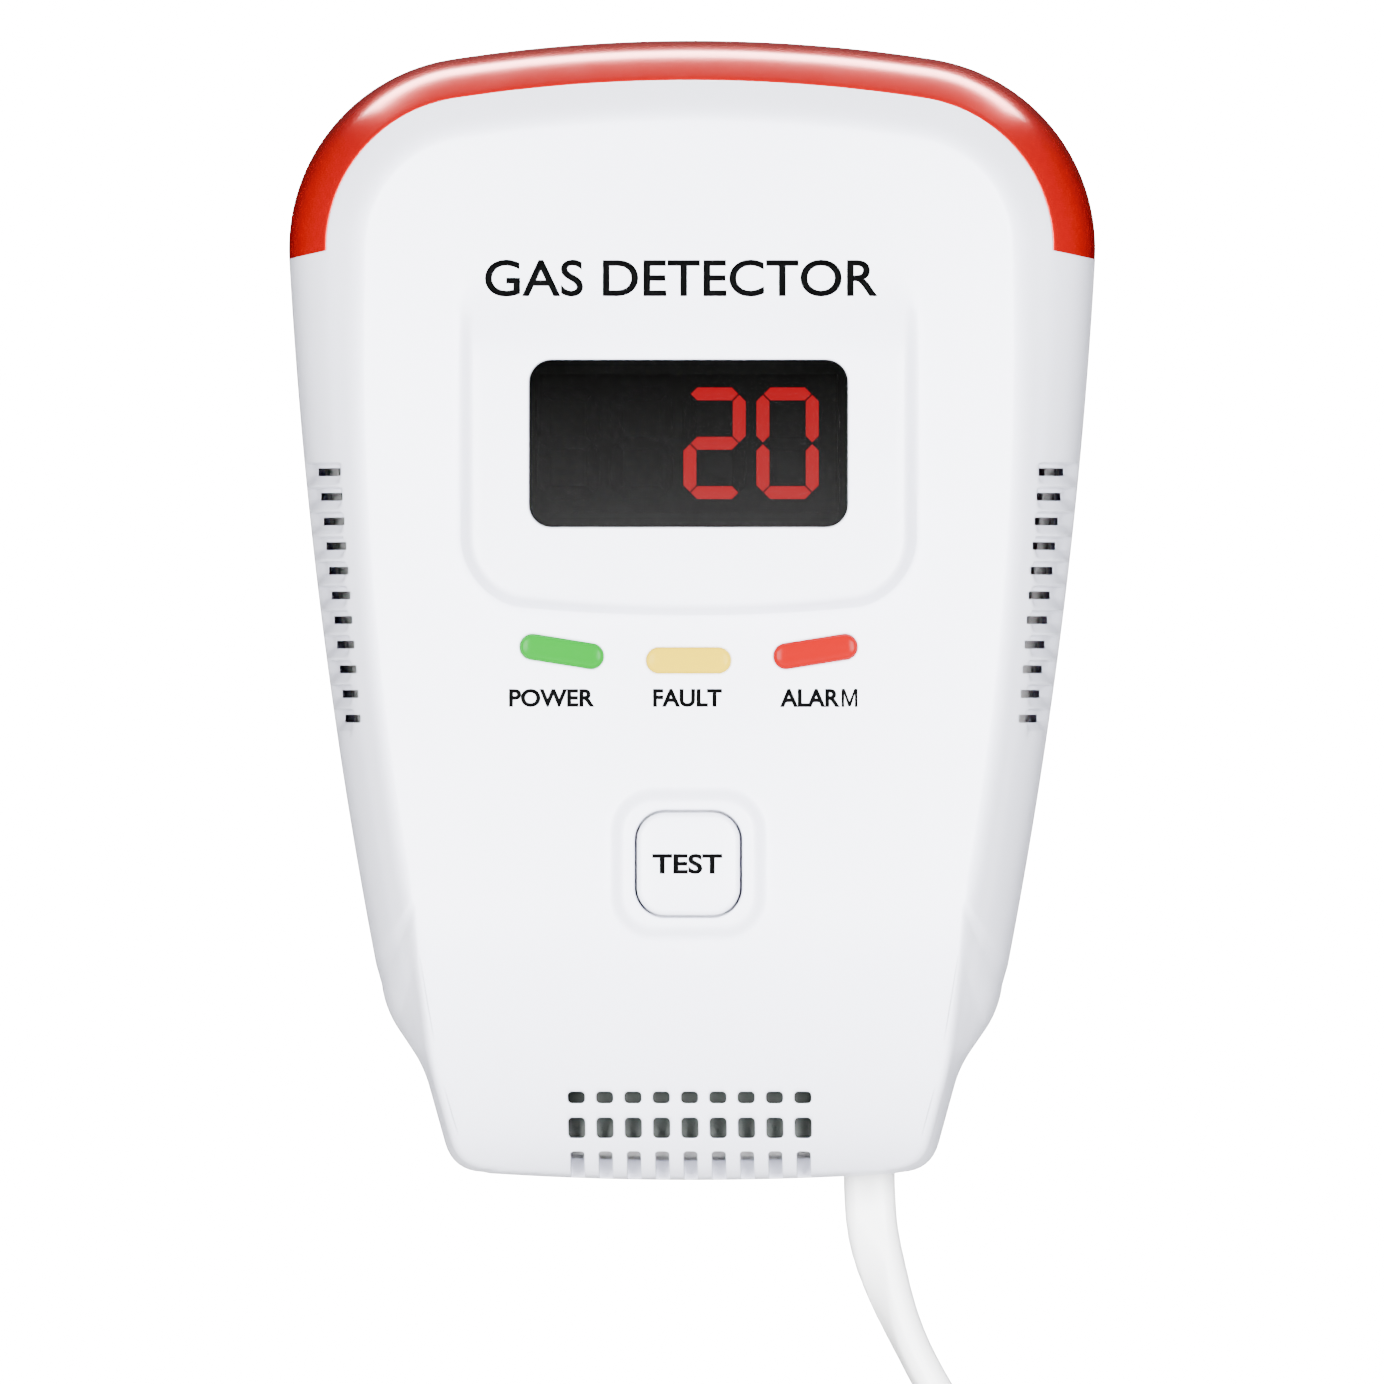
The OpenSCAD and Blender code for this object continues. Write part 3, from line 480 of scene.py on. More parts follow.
def make_cover():
    """The cover as a closed shell: shoulder strip and crowned face, with the same sheet a wall further in."""
    rim = 0.8
    inside = FACE - rim * ACROSS
    shares = profile(40)
    keep = shares[shares[:, 0] <= 0.84]
    face_edge = face_d(FACE[:, 0], FACE[:, 1])
    strip = []
    for sx, sy in keep:
        p = FACE + ACROSS * ((1 - sx) * SHOULDER_AT)[:, None]
        strip.append(np.column_stack([p, SEAM_D + (face_edge - SEAM_D) * sy]))
    last = strip[-1]
    edge = np.column_stack([FACE, face_edge])
    inner_edge = np.column_stack([inside, front_d(inside[:, 0], inside[:, 1])])
    for t in np.linspace(0, 1, 8)[1:]:
        strip.append((1 - t) ** 2 * last + 2 * t * (1 - t) * edge + t**2 * inner_edge)
    strip = np.array(strip)
    along = np.gradient(strip, axis=1)
    up = np.gradient(strip, axis=0)
    normal = np.cross(along, up)
    normal /= np.linalg.norm(normal, axis=2)[..., None]
    sink = recess(strip[..., 0], strip[..., 1], strip[..., 2])
    flank = strip + normal * sink[..., None] * np.sign(
        -(normal[..., :2] * ACROSS[None]).sum(-1) + 1e-9)[..., None]

    points = [Vector(p) for p in inside]
    loops = [list(range(RING_N))]
    for step in np.linspace(-0.05, 1.02, 7):
        inset = step * PAD_EDGE
        ring = ring_of(PAD_W - 2 * inset, PAD_H - 2 * inset, PAD_R - step, 10, (0, BUTTON_Z))
        loops.append([len(points) + i for i in range(len(ring))])
        points += [Vector(p) for p in ring]
        turn = np.radians(np.arange(-203, 24, 1.2))
        near, far = np.full(len(turn), 5.0), np.full(len(turn), 40.0)
        for _ in range(30):
            middle = (near + far) / 2
            out = tongue_distance(middle * np.cos(turn), 20 + middle * np.sin(turn)) > -step * TONGUE_EDGE
            near, far = np.where(out, near, middle), np.where(out, middle, far)
        ring = np.column_stack([near * np.cos(turn), 20 + near * np.sin(turn)])
        first = len(points)
        points += [Vector(p) for p in ring]
        loops.append((first, len(ring)))
    edges = []
    for loop in loops:
        if isinstance(loop, tuple):
            edges += [(loop[0] + i, loop[0] + i + 1) for i in range(loop[1] - 1)]
        else:
            edges += [(a, b) for a, b in zip(loop, loop[1:] + loop[:1], strict=True)]
    gx, gz = np.meshgrid(np.arange(-33.6, 34, 0.8), np.arange(-57, 56.2, 0.8))
    grid = np.column_stack([gx.ravel(), gz.ravel()])
    taken = np.array([tuple(p) for p in points])
    clear = [np.min(np.hypot(*(taken - p).T)) > 0.3 for p in grid]
    points += [Vector(p) for p, ok in zip(grid, clear, strict=True) if ok]
    flat, _, tris, origin, *_ = geometry.delaunay_2d_cdt(points, edges, [list(range(RING_N))], 1, 1e-5)
    flat = np.array([tuple(p) for p in flat])
    top = np.column_stack([flat, front_d(flat[:, 0], flat[:, 1])])

    # The face shares its outer points with the strip, and the same sheet lies a wall further in
    m = len(flank)
    outer = np.vstack([flank.reshape(-1, 3), top])
    base = m * RING_N
    index = np.arange(len(outer))
    for j, sources in enumerate(origin):
        for source in sources:
            if source < RING_N:
                index[base + j] = (m - 1) * RING_N + source
    faces = [(j * RING_N + i, j * RING_N + (i + 1) % RING_N, (j + 1) * RING_N + (i + 1) % RING_N,
              (j + 1) * RING_N + i) for j in range(m - 1) for i in range(RING_N)]
    faces += [tuple(index[base + np.array(t)]) for t in tris]
    inward = np.where((normal[..., 2] > 0)[..., None], -normal, normal)
    inward[0] = np.column_stack([-ACROSS, np.zeros(RING_N)])
    back = strip + inward * WALL
    under = np.column_stack([flat, face_d(flat[:, 0], flat[:, 1]) - WALL])
    inner = np.vstack([back.reshape(-1, 3), under])
    first = len(outer)
    inner_faces = [tuple(v + first for v in f[::-1]) for f in faces]
    lip = [(i, first + i, first + (i + 1) % RING_N, (i + 1) % RING_N) for i in range(RING_N)]
    return np.vstack([outer, inner]), faces + inner_faces + lip


def weld(piece):
    """Joins doubled points and turns every face outwards, so that the piece is one closed skin."""
    form = bmesh.new()
    form.from_mesh(piece.data)
    bmesh.ops.remove_doubles(form, verts=form.verts, dist=3e-6)
    bmesh.ops.recalc_face_normals(form, faces=form.faces)
    form.to_mesh(piece.data)
    form.free()
    return piece


def soft_hole(ring_at, r, surface, low=27.0):
    """A cutter for a hole with a rounded rim: ring_at(grow) is its outline, surface the depth over it."""
    rings = [with_depth(ring_at(0), low)]
    for a in np.radians(np.arange(0, 61, 12)):
        ring = ring_at(r * (1 - math.cos(a)))
        rings.append(with_depth(ring, surface(*ring.T) - r * (1 - math.sin(a))))
    ring = ring_at(r * 0.9)
    rings.append(with_depth(ring, surface(*ring.T) + 0.25 * r))
    rings.append(with_depth(ring, 44))
    return loft(rings)


def several(parts):
    """Points and faces of separate skins as one mesh."""
    points, faces, n = [], [], 0
    for p, f in parts:
        points.append(np.asarray(p))
        faces += [tuple(v + n for v in face) for face in f]
        n += len(p)
    return np.vstack(points), faces


def oriented(parts):
    """Separate skins as one mesh, each with its faces outwards."""
    fixed = []
    for p, f in parts:
        p = np.asarray(p)
        volume = sum(np.dot(p[a[0]], np.cross(p[a[i]], p[a[i + 1]])) for a in f for i in range(1, len(a) - 1))
        fixed.append((p, f if volume > 0 else [face[::-1] for face in f]))
    return several(fixed)


def mirrored(part):
    p, f = part
    return np.asarray(p) * [-1, 1, 1], [face[::-1] for face in f]


def over_the_top(section, stations):
    """A closed section of (inward distance, depth) carried along the outline over the top."""
    section = np.asarray(section, float)
    o, f = BODY[stations], FACE[stations]
    k = (face_d(f[:, 0], f[:, 1]) - SEAM_D) / (RIM_D - PART_D)
    in_ = -ACROSS[stations]
    xy = o[:, None] + in_[:, None] * section[None, :, :1]
    d = SEAM_D + k[:, None] * (section[None, :, 1] - SEAM_D)
    return loft(np.concatenate([xy, d[..., None]], -1))


TOP_STATIONS = np.arange(-62, 63)
INDICATOR_X, INDICATOR_Z, TILT = 12.85, (-4.2, -5.1, -4.2), 9
LIGHT_W, LIGHT_H = 8.4, 2.4
GRILLE_PITCH = 2.87
LENS_SHARE = 0.56
section = profile(60)
section = section[section[:, 0] <= LENS_SHARE] * [SHOULDER_W, RIM_D - PART_D] + [0, SEAM_D]
EDGE = section[-1]
slope = np.array([0.76 - 0.22, 0.89 - 0.57]) * [SHOULDER_W, RIM_D - PART_D]
ON = slope / np.linalg.norm(slope)
IN = np.array([ON[1], -ON[0]])


def light_at(k):
    return (k - 1) * INDICATOR_X, INDICATOR_Z[k]


def cover_cutters():
    """The lens pocket and every opening of the cover: window, button, indicators, louvres and grille."""

    def opening(w, h, r, n, at, tilt=0.0):
        return soft_hole(lambda g: ring_of(w + 2 * g, h + 2 * g, r + g, n, at, tilt), 0.25, front_d)

    above_edge = EDGE + 0.1 * ON
    pocket = [(-2, PART_D - 1), (-2, RIM_D), above_edge - 4 * IN, above_edge + 3 * IN, (4, PART_D - 1)]
    parts = [over_the_top(pocket[::-1], TOP_STATIONS),
             opening(WINDOW_W + GAP, WINDOW_H + GAP, WINDOW_R + 0.05, 10, WINDOW_AT),
             opening(BUTTON_W + 0.5, BUTTON_W + 0.5, BUTTON_R + 0.25, 12, (0, BUTTON_Z))]
    for k in range(3):
        parts.append(opening(LIGHT_W + GAP, LIGHT_H + GAP, 1.29, 10, light_at(k), (k - 1) * TILT))
    for k in range(LOUVRES):
        inner, outer = 35.36 - 0.2 * k, 37.8 - 0.27 * k
        z = LOUVRE_TOP - LOUVRE_PITCH * k
        slit = prism(ring_of(outer - inner, SLIT_H, 0.1, 4, ((outer + inner) / 2, z)), 15, 40)
        parts += [slit, mirrored(slit)]
    for k in range(9):
        x = (k - 4) * GRILLE_PITCH
        for z, h in ((-49.4, 1.2), (-52.5, 2.1)):
            parts.append(soft_hole(lambda g, at=(x, z), h=h: ring_of(1.75 + 2 * g, h + 2 * g, 0.42 + g, 5, at),
                                   0.22, face_d, 17))
        parts.append(prism(ring_of(1.45, 8, 0.35, 5, (x, -58.9)), 17, 40))
    return oriented(parts)


WHITE = surface("cover_satin", (0.76, 0.77, 0.87), 0.38, vary=0.012, grain=2600, bump=0.12, edge=0.22)
cover = weld(thing("cover_shell", *make_cover(), WHITE, replaces=("front_cover",), slot="cover_white"))
cut(cover, [cover_cutters()])


def strobe_plastic():
    """Translucent red lens: deep red body whose sheen takes the colour of the plastic."""
    material = surface("strobe_red", (0.26, 0.0004, 0.001), 0.17, vary=0.05, grain=500, bump=0.03,
                       rough_vary=0.03, sockets={"Specular IOR Level": 0.06})
    nodes, links = material.node_tree.nodes, material.node_tree.links
    sheen = nodes.new("ShaderNodeBsdfAnisotropic")
    sheen.inputs["Color"].default_value = (1.0, 0.13, 0.11, 1)
    sheen.inputs["Roughness"].default_value = 0.22
    mix = nodes.new("ShaderNodeMixShader")
    mix.inputs[0].default_value = 0.1
    links.new(nodes["Principled BSDF"].outputs[0], mix.inputs[1])
    links.new(sheen.outputs[0], mix.inputs[2])
    links.new(mix.outputs[0], nodes["Material Output"].inputs["Surface"])
    return material


RED = strobe_plastic()
back_run = np.gradient(section[::-1], axis=0)[2:-2]
back_in = np.column_stack([-back_run[:, 1], back_run[:, 0]]) / np.linalg.norm(back_run, axis=1)[:, None]
lens_section = np.vstack([
    bend((1.2, SEAM_D), (0, SEAM_D), section[2], 0.35, 5), section[3:-2],
    bend(section[-3], EDGE, EDGE + 2 * IN, 0.3, 6),
    [EDGE + 2.35 * IN, EDGE + 2.35 * IN + 1.6 * ON, EDGE + 3.25 * IN + 1.6 * ON, EDGE + 3.25 * IN - 0.8 * ON],
    section[::-1][2:-2] + 2.0 * back_in, [(2.0, SEAM_D)]])
weld(thing("strobe_lens", *over_the_top(lens_section, TOP_STATIONS), RED, replaces=("alarm_lens",),
           slot="lens_red", sharp=50))

# ---- Display -----------------------------------------------------------------------------

GLASS = smoked_glass_painted_reflection()
PANE_SUNK = 0.25


def window_ring(inset, below):
    ring = ring_of(WINDOW_W - 2 * inset, WINDOW_H - 2 * inset, WINDOW_R - inset, 12, WINDOW_AT)
    return with_depth(ring, TONGUE_D - (ring[:, 1] - TONGUE_Z) * math.tan(TONGUE_LEAN) - PANE_SUNK - below)


thing("window_pane", *loft([window_ring(0, 1.6), window_ring(0, 0.05), window_ring(0.02, 0)]),
      GLASS, replaces=("display_window",), slot="window_smoke")


def bar(x, z, upright):
    """One pointed bar of a digit, with a softened front edge."""
    a, b = 2.4, 0.65
    rings = []
    for g, depth in ((0, 32.4), (0, 32.51), (-0.06, 32.55)):
        p = np.array([(-a - g, 0), (-a + b, -b - g), (a - b, -b - g),
                      (a + g, 0), (a - b, b + g), (-a + b, b + g)])
        p = p[:, ::-1] * [-1, 1] if upright else p
        rings.append(with_depth(p + [x, z], depth))
    return loft(rings)


DIGIT_PITCH, DIGITS_X, DIGITS_Z = 7.4, -1.1, 16.9
BARS = {"a": (0, 5, False), "g": (0, 0, False), "d": (0, -5, False), "f": (-2.5, 2.5, True),
        "b": (2.5, 2.5, True), "e": (-2.5, -2.5, True), "c": (2.5, -2.5, True)}
lit, dark = [], []
for k, shown in enumerate(("", "", "abged", "abcdef")):
    for name, (x, z, upright) in BARS.items():
        piece = bar((k - 1.5) * DIGIT_PITCH + DIGITS_X + x, DIGITS_Z + z, upright)
        (lit if name in shown else dark).append(piece)
LIT = surface("segment_glow", (0.04, 0.0002, 0.0004), 0.35, vary=0.05, grain=300, bump=0.05,
              sockets={"Emission Color": (1.0, 0.0008, 0.014, 1), "Emission Strength": 4.2,
                       "Specular IOR Level": 0.02})
BLACK = surface("module_black", (0.0025, 0.0025, 0.0026), 0.55, vary=0.12, grain=1800, bump=0.12,
                sockets={"Specular IOR Level": 0.04})
thing("lit_segments", *several(lit), LIT, replaces=("display_segments",), slot="segment_red")
thing("dark_segments", *several(dark), BLACK, slot="black_plastic")

# ---- Controls ----------------------------------------------------------------------------

BUTTON = surface("button_satin", (0.76, 0.77, 0.87), 0.34, vary=0.012, grain=2600, bump=0.1)
CAP_D, CAP_EDGE = 36.25, 0.6


def square_ring(w, r, d):
    return with_depth(ring_of(w, w, r, 10, (0, BUTTON_Z)), d)


thing("test_cap", *loft(
    [square_ring(4.4, 2.19, 25), square_ring(4.4, 2.19, 30.9), square_ring(12.4, 2.7, 30.9),
     square_ring(12.6, 2.8, 31.0), square_ring(12.6, 2.8, 31.9), square_ring(12.4, 2.7, 32),
     square_ring(BUTTON_W, BUTTON_R, 32)]
    + [square_ring(BUTTON_W - 2 * CAP_EDGE * (1 - math.cos(a)), BUTTON_R - CAP_EDGE * (1 - math.cos(a)),
                   CAP_D - CAP_EDGE * (1 - math.sin(a))) for a in np.radians(np.arange(0, 91, 11.25))]
    + [square_ring(BUTTON_W * k, 2.2 * k, CAP_D + 0.12 * (1 - k * k)) for k in (0.8, 0.6, 0.4, 0.2)]),
    BUTTON, body="button", replaces=("test_button",), slot="button_white")

for k, (name, tint, glow, strength) in enumerate((
        ("power_indicator", (0.0002, 0.04, 0.002), (0.0005, 1.0, 0.05, 1), 0.85),
        ("fault_indicator", (0.16, 0.11, 0.0003), (1.0, 0.7, 0.0005, 1), 2.4),
        ("alarm_indicator", (0.06, 0.0002, 0.0003), (1.0, 0.0005, 0.004, 1), 1.15))):
    at = light_at(k)
    top = float(face_d(*at)) + 0.25
    resin = surface(name + "_resin", tint, 0.16, vary=0.06, grain=400, bump=0.04,
                    sockets={"Emission Color": glow, "Emission Strength": strength,
                             "Specular IOR Level": 0.03})
    spans = ([(2.7, 2.7, 1.34, 23), (2.7, 2.7, 1.34, 30.9), (10, 4, 1.99, 30.9), (10, 4, 1.99, 31.9),
              (LIGHT_W, LIGHT_H, 1.19, 31.9)]
             + [(LIGHT_W - 0.6 * (1 - math.cos(a)), LIGHT_H - 0.6 * (1 - math.cos(a)),
                 1.19 - 0.3 * (1 - math.cos(a)), top - 0.36 + 0.3 * math.sin(a))
                for a in np.radians(np.arange(0, 91, 15))]
             + [(7.2, 1.2, 0.58, top - 0.02), (6.6, 0.6, 0.28, top)])
    rings = [with_depth(ring_of(w, h, r, 8, at, (k - 1) * TILT), d) for w, h, r, d in spans]
    thing(name.replace("indicator", "light"), *loft(rings), resin, replaces=(name,),
          slot=("lens_green", "lens_yellow", "lens_alarm")[k])

# ---- Lettering ---------------------------------------------------------------------------

INK = surface("print_ink", (0.0011, 0.0011, 0.0012), 0.6, vary=0.1, grain=2500, bump=0.05,
              sockets={"Specular IOR Level": 0.01})


def letters(words, x, z, width, cap, body="housing", surface_d=front_d, weight=0.0):
    """Prints words on the front: their middle, full width and capital height are in millimetres."""
    curve = bpy.data.curves.new(words.lower().replace(" ", "_") + "_print", "FONT")
    curve.body = words
    curve.align_x = "CENTER"
    curve.extrude = 0.02
    curve.offset = weight
    curve.resolution_u = 6
    text = bpy.data.objects.new(curve.name, curve)
    bpy.context.collection.objects.link(text)
    bpy.context.view_layer.update()
    mesh = bpy.data.meshes.new_from_object(text.evaluated_get(bpy.context.evaluated_depsgraph_get()))
    bpy.data.objects.remove(text)
    p = np.array([v.co for v in mesh.vertices])
    low, high = p.min(0), p.max(0)
    flat = (p - (low + high) / 2) / (high - low)
    px, pz = x + flat[:, 0] * width, z + flat[:, 1] * cap
    p = np.column_stack([px, pz, surface_d(px, pz) + 0.03 * flat[:, 2] + 0.012])
    faces = [tuple(f.vertices) for f in mesh.polygons]
    weld(thing(curve.name, p, faces, INK, body=body, sharp=20))


letters("GAS DETECTOR", -0.75, 33.62, 39.8, 3.75, weight=0.013)
letters("POWER", -13.85, -8.9, 8.7, 1.85, weight=0.036)
letters("FAULT", -0.1, -8.9, 7.0, 1.85, weight=0.036)
letters("ALAR", 12.3, -8.9, 6.1, 1.85, weight=0.036)
BROAD_M = np.array([(0, 0), (0.17, 0), (0.17, 0.7), (0.42, 0.04), (0.58, 0.04), (0.83, 0.7), (0.83, 0),
                    (1, 0), (1, 1), (0.8, 1), (0.5, 0.3), (0.2, 1), (0, 1)])
stroke = (BROAD_M - 0.5) * [1.62, 1.85] + [16.3, -8.9]
under_m = front_d(*stroke.T)
thing("m_print", *loft([with_depth(stroke, under_m - 0.02), with_depth(stroke, under_m + 0.025)]), INK,
      sharp=20)
letters("TEST", -0.1, BUTTON_Z, 7.1, 2.05, body="button", weight=0.03,
        surface_d=lambda x, z: np.full(np.shape(x), 36.35))

# ---- Rear housing ------------------------------------------------------------------------

HOUSING = surface("housing_satin", (0.78, 0.78, 0.79), 0.42, vary=0.015, grain=2200, bump=0.15, edge=0.25)


def inset_ring(inset):
    """The body's outline moved inwards."""
    ahead = np.roll(BODY, -1, 0) - np.roll(BODY, 1, 0)
    ahead /= np.linalg.norm(ahead, axis=1)[:, None]
    normal = np.column_stack([ahead[:, 1], -ahead[:, 0]])
    return BODY + normal * inset


def disc(x, z, r, d0, d1):
    a = np.linspace(0, 2 * math.pi, 48, endpoint=False)
    return prism(np.column_stack([x + r * np.cos(a), z + r * np.sin(a)]), d0, d1)


def make_housing():
    """The rear tray from its rounded back edge to the lip that enters the cover, and down its inside."""
    steps = [(1.75, 0), (1.4, 0.06), (1.1, 0.22), (0.85, 0.5), (0.68, 0.85), (0.6, 1.3),
             (0.6, 12.85), (0.7, 13), (2.3, 13), (2.3, 14.7), (2.4, 14.8), (3.4, 14.8), (3.5, 14.7),
             (3.5, 11), (2.8, 10.5), (2.8, 2.6), (3.4, 2)]
    return loft([with_depth(inset_ring(i), d) for i, d in steps])


SCREW_AT = [(31, 27), (-31, 27), (24.2, -37), (-24.2, -37)]
POST_AT = [(26, 20), (-26, 20), (24, -27), (-24, -27)]
housing = weld(thing("housing_shell", *oriented([make_housing()]), HOUSING, replaces=("rear_housing",),
                     slot="housing_white"))
CORD_X, CORD_D, CLAMP_Z = 17.9, 6.5, -44.2
cut(housing, [oriented([disc(x, z, 3.6, 0.8, 13) for x, z in SCREW_AT]
                       + [disc(x, z, 2.6, 1, 19) for x, z in POST_AT]
                       + [disc(CORD_X + s * 4.25, CLAMP_Z, 1.6, 1, 8.15) for s in (-1, 1)]
                       + [prism(ring_of(5.2, 3.6, 0.2, 4, (CORD_X, CLAMP_Z)), 1, 4.85)])], "UNION")


def keyhole(side):
    """A cutter for a hanging hole: a round for the screw head and a slot above it for the neck."""
    big = [(4 * math.cos(t), 4 * math.sin(t)) for t in np.linspace(math.radians(-240), math.radians(60), 44)]
    small = [(2 * math.cos(t), 6 + 2 * math.sin(t)) for t in np.linspace(0, math.pi, 22)]
    ring = np.array(small + big) + [side * 20, 30]
    return prism(ring, -1, 3)


holes = [disc(x, z, 2.9, -1, 9) for x, z in SCREW_AT] + [disc(x, z, 1.7, 8.5, 14) for x, z in SCREW_AT]
cut(housing, [oriented([keyhole(-1)]), oriented([keyhole(1)])])
cut(housing, [oriented(holes[:4] + [prism(ring_of(36.6, 22.6, 1.8, 8, (0, -24)), -1, 0.3)]),
              oriented(holes[4:] + [disc(x, z, 1, 8, 20) for x, z in POST_AT])])


# ---- The cord ----------------------------------------------------------------------------

CORD_W, CORD_T = 5.2, 3.3
CORD_ROUTE = [(17.9, -41, 6.5), (17.9, -46, 6.5), (17.9, -50, 6.5), (17.9, -54, 6.5), (17.9, -57.9, 6.5),
              (18, -60.3, 6.5), (18.2, -62.7, 6.5), (18.7, -65.2, 6.5), (19.4, -67.6, 6.6), (20.2, -70, 6.8),
              (21.2, -72.5, 7), (22.4, -75.1, 7.3), (23.9, -78, 7.6), (25.9, -81.3, 8), (28.4, -84.9, 8.4),
              (31.2, -88.2, 8.8), (34.3, -91.5, 9.1), (37.7, -95, 9.4), (40.9, -98.6, 9.5)]
TAIL_ROUTE = [(-14, -102.5, 18.5), (-10.8, -97.5, 19.4), (-6, -93.2, 20.2), (0, -90.8, 20.9),
              (6.4, -90.6, 21.6), (12.6, -92.6, 22.4), (17.8, -96.3, 23.2), (21.6, -101.4, 24),
              (23.6, -107.2, 24.6), (24, -112, 24.7)]
COIL_C = np.array([16, -119.5, 9.5])
COIL_R = 28.0
TURN_GAP_R, TURN_GAP_D = 4.5, 5.2
# Where each turn lies in the bundle: (rows out from the middle, columns forward from the middle)
TURNS = [(1, 0), (1, -1), (0, -0.5), (-1, -1), (-1, 0), (-1, 1), (0, 0.5), (1, 1)]
ENTRY_A, LEAVE_A = 40.0, 165.0
TWIST_FROM, TWIST_TO, TWIST = -60.0, -76.0, math.radians(80)


def coil_turns():
    """The wound length: each turn eases over to its neighbour's place while it goes round."""
    out = []
    total = 360 * (len(TURNS) - 1) + (360 + ENTRY_A - LEAVE_A)
    for turned in np.arange(6, total - 4, 5.0):
        k = min(int(turned // 360), len(TURNS) - 1)
        ease = smooth((turned % 360 - 270) / 90) if k + 1 < len(TURNS) else 0
        row, column = (np.array(TURNS[k]) * (1 - ease) + np.array(TURNS[min(k + 1, len(TURNS) - 1)]) * ease)
        a = math.radians(ENTRY_A - turned)
        r = COIL_R + row * TURN_GAP_R
        out.append(COIL_C + [r * math.cos(a), r * math.sin(a), column * TURN_GAP_D])
    return out


def make_cord():
    """The cord's skin along its whole route, turned on edge before it joins the coil."""
    route = curve_through([*CORD_ROUTE, *coil_turns(), *TAIL_ROUTE], 1.6)
    ahead = np.gradient(route, axis=0)
    ahead /= np.linalg.norm(ahead, axis=1)[:, None]
    front = np.array([0, 0, 1.0]) - ahead[:, 2:] * ahead
    front /= np.linalg.norm(front, axis=1)[:, None]
    side = np.cross(front, ahead)
    turn = TWIST * smooth((TWIST_FROM - route[:, 1]) / (TWIST_FROM - TWIST_TO))
    turn[len(route) // 2 + 1:] = TWIST
    a = np.linspace(0, 2 * math.pi, 24, endpoint=False)
    across = (CORD_W - CORD_T) / 2 * np.sign(np.cos(a)) * (np.abs(np.cos(a)) > 1e-6) + CORD_T / 2 * np.cos(a)
    up = CORD_T / 2 * np.sin(a) * (1 - 0.05 * np.exp(-(across / 0.5) ** 2))
    c, s = np.cos(turn)[:, None, None], np.sin(turn)[:, None, None]
    u, v = across[None, :, None], up[None, :, None]
    rings = route[:, None] + (u * c - v * s) * side[:, None] + (u * s + v * c) * front[:, None]
    cord = thing("supply_cord", *loft(rings), CORD, slot="cord_white", sharp=60,
                 replaces=("cord", "cord_coil", "cord_tail"))
    return cord, place(route)


# ---- Plug and ties -----------------------------------------------------------------------

PLUG_X, PLUG_Z, PLUG_D = 24.0, -112.0, 24.7
PLUG = surface("plug_satin", (0.78, 0.785, 0.8), 0.4, vary=0.02, grain=1800)


def flat_ring(x, z, d, w, t, r, n=10):
    """A rounded rectangle lying level at one height."""
    p = ring_of(w, t, r, n)
    return np.column_stack([x + p[:, 0], np.full(len(p), z), d + p[:, 1]])


def make_plug():
    """A flat two-pin plug: ribbed strain relief, flaring body and a raised grip panel on each side."""
    spans = [(0, 9.2, 7.2, 3.2), (-0.3, 10.2, 8.2, 3.9)]
    for k in range(5):
        z = -0.8 - 1.7 * k
        spans += [(z, 11 + 0.5 * k, 9 + 0.5 * k, 4.2), (z - 0.9, 11.1 + 0.5 * k, 9.1 + 0.5 * k, 4.2),
                  (z - 1.05, 10 + 0.5 * k, 8 + 0.5 * k, 3.8), (z - 1.55, 10.1 + 0.5 * k, 8.1 + 0.5 * k, 3.8)]
    for t in np.linspace(0, 1, 12):
        spans.append((-9.6 - 13 * t, 14.6 + 19.2 * float(smooth(t)), 12 + 1.5 * float(smooth(t * 2)),
                      5 + 1.4 * t))
    spans += [(-34, 33.9, 13.6, 6.4), (-35.2, 33.6, 13.3, 6.3), (-35.8, 32.8, 12.5, 5.9),
              (-36, 31.6, 11.3, 5.3)]
    body = loft([flat_ring(PLUG_X, PLUG_Z + z, PLUG_D, w, t, r) for z, w, t, r in spans])
    panel = ring_of(15, 8.5, 3, 8, (PLUG_X, PLUG_Z - 28.2))
    grip = [loft([with_depth(panel, PLUG_D + s * 6.4), with_depth(panel, PLUG_D + s * 6.62),
                  with_depth(ring_of(14.4, 7.9, 2.7, 8, (PLUG_X, PLUG_Z - 28.2)), PLUG_D + s * 6.78)])
            for s in (-1, 1)]
    return oriented([body, *grip])


def pin(side, low, high, r, tip=0.0):
    spans = [(low, r - tip), (low + 0.4 * tip, r - 0.35 * tip), (low + 1.2 * tip, r), (high, r)]
    return loft([flat_ring(PLUG_X + side * 9.5, z, PLUG_D, 2 * q, 2 * q, q - 0.01, 8) for z, q in spans])


plug = thing("plug_shell", *make_plug(), PLUG, replaces=("plug_body",), slot="plug_white")
sleeves = thing("pin_sleeves", *oriented([pin(s, -158.5, -147.9, 1.9) for s in (-1, 1)]), PLUG,
                slot="plug_white")
NICKEL = surface("nickel_plate", (0.62, 0.6, 0.55), 0.2, vary=0.04, grain=3500, bump=0.1,
                 sockets={"Metallic": 1.0})
pins = thing("pin_tips", *oriented([pin(s, -167, -158.5, 2.0, 0.8) for s in (-1, 1)]), NICKEL,
             replaces=("plug_pins",), slot="pin_metal")


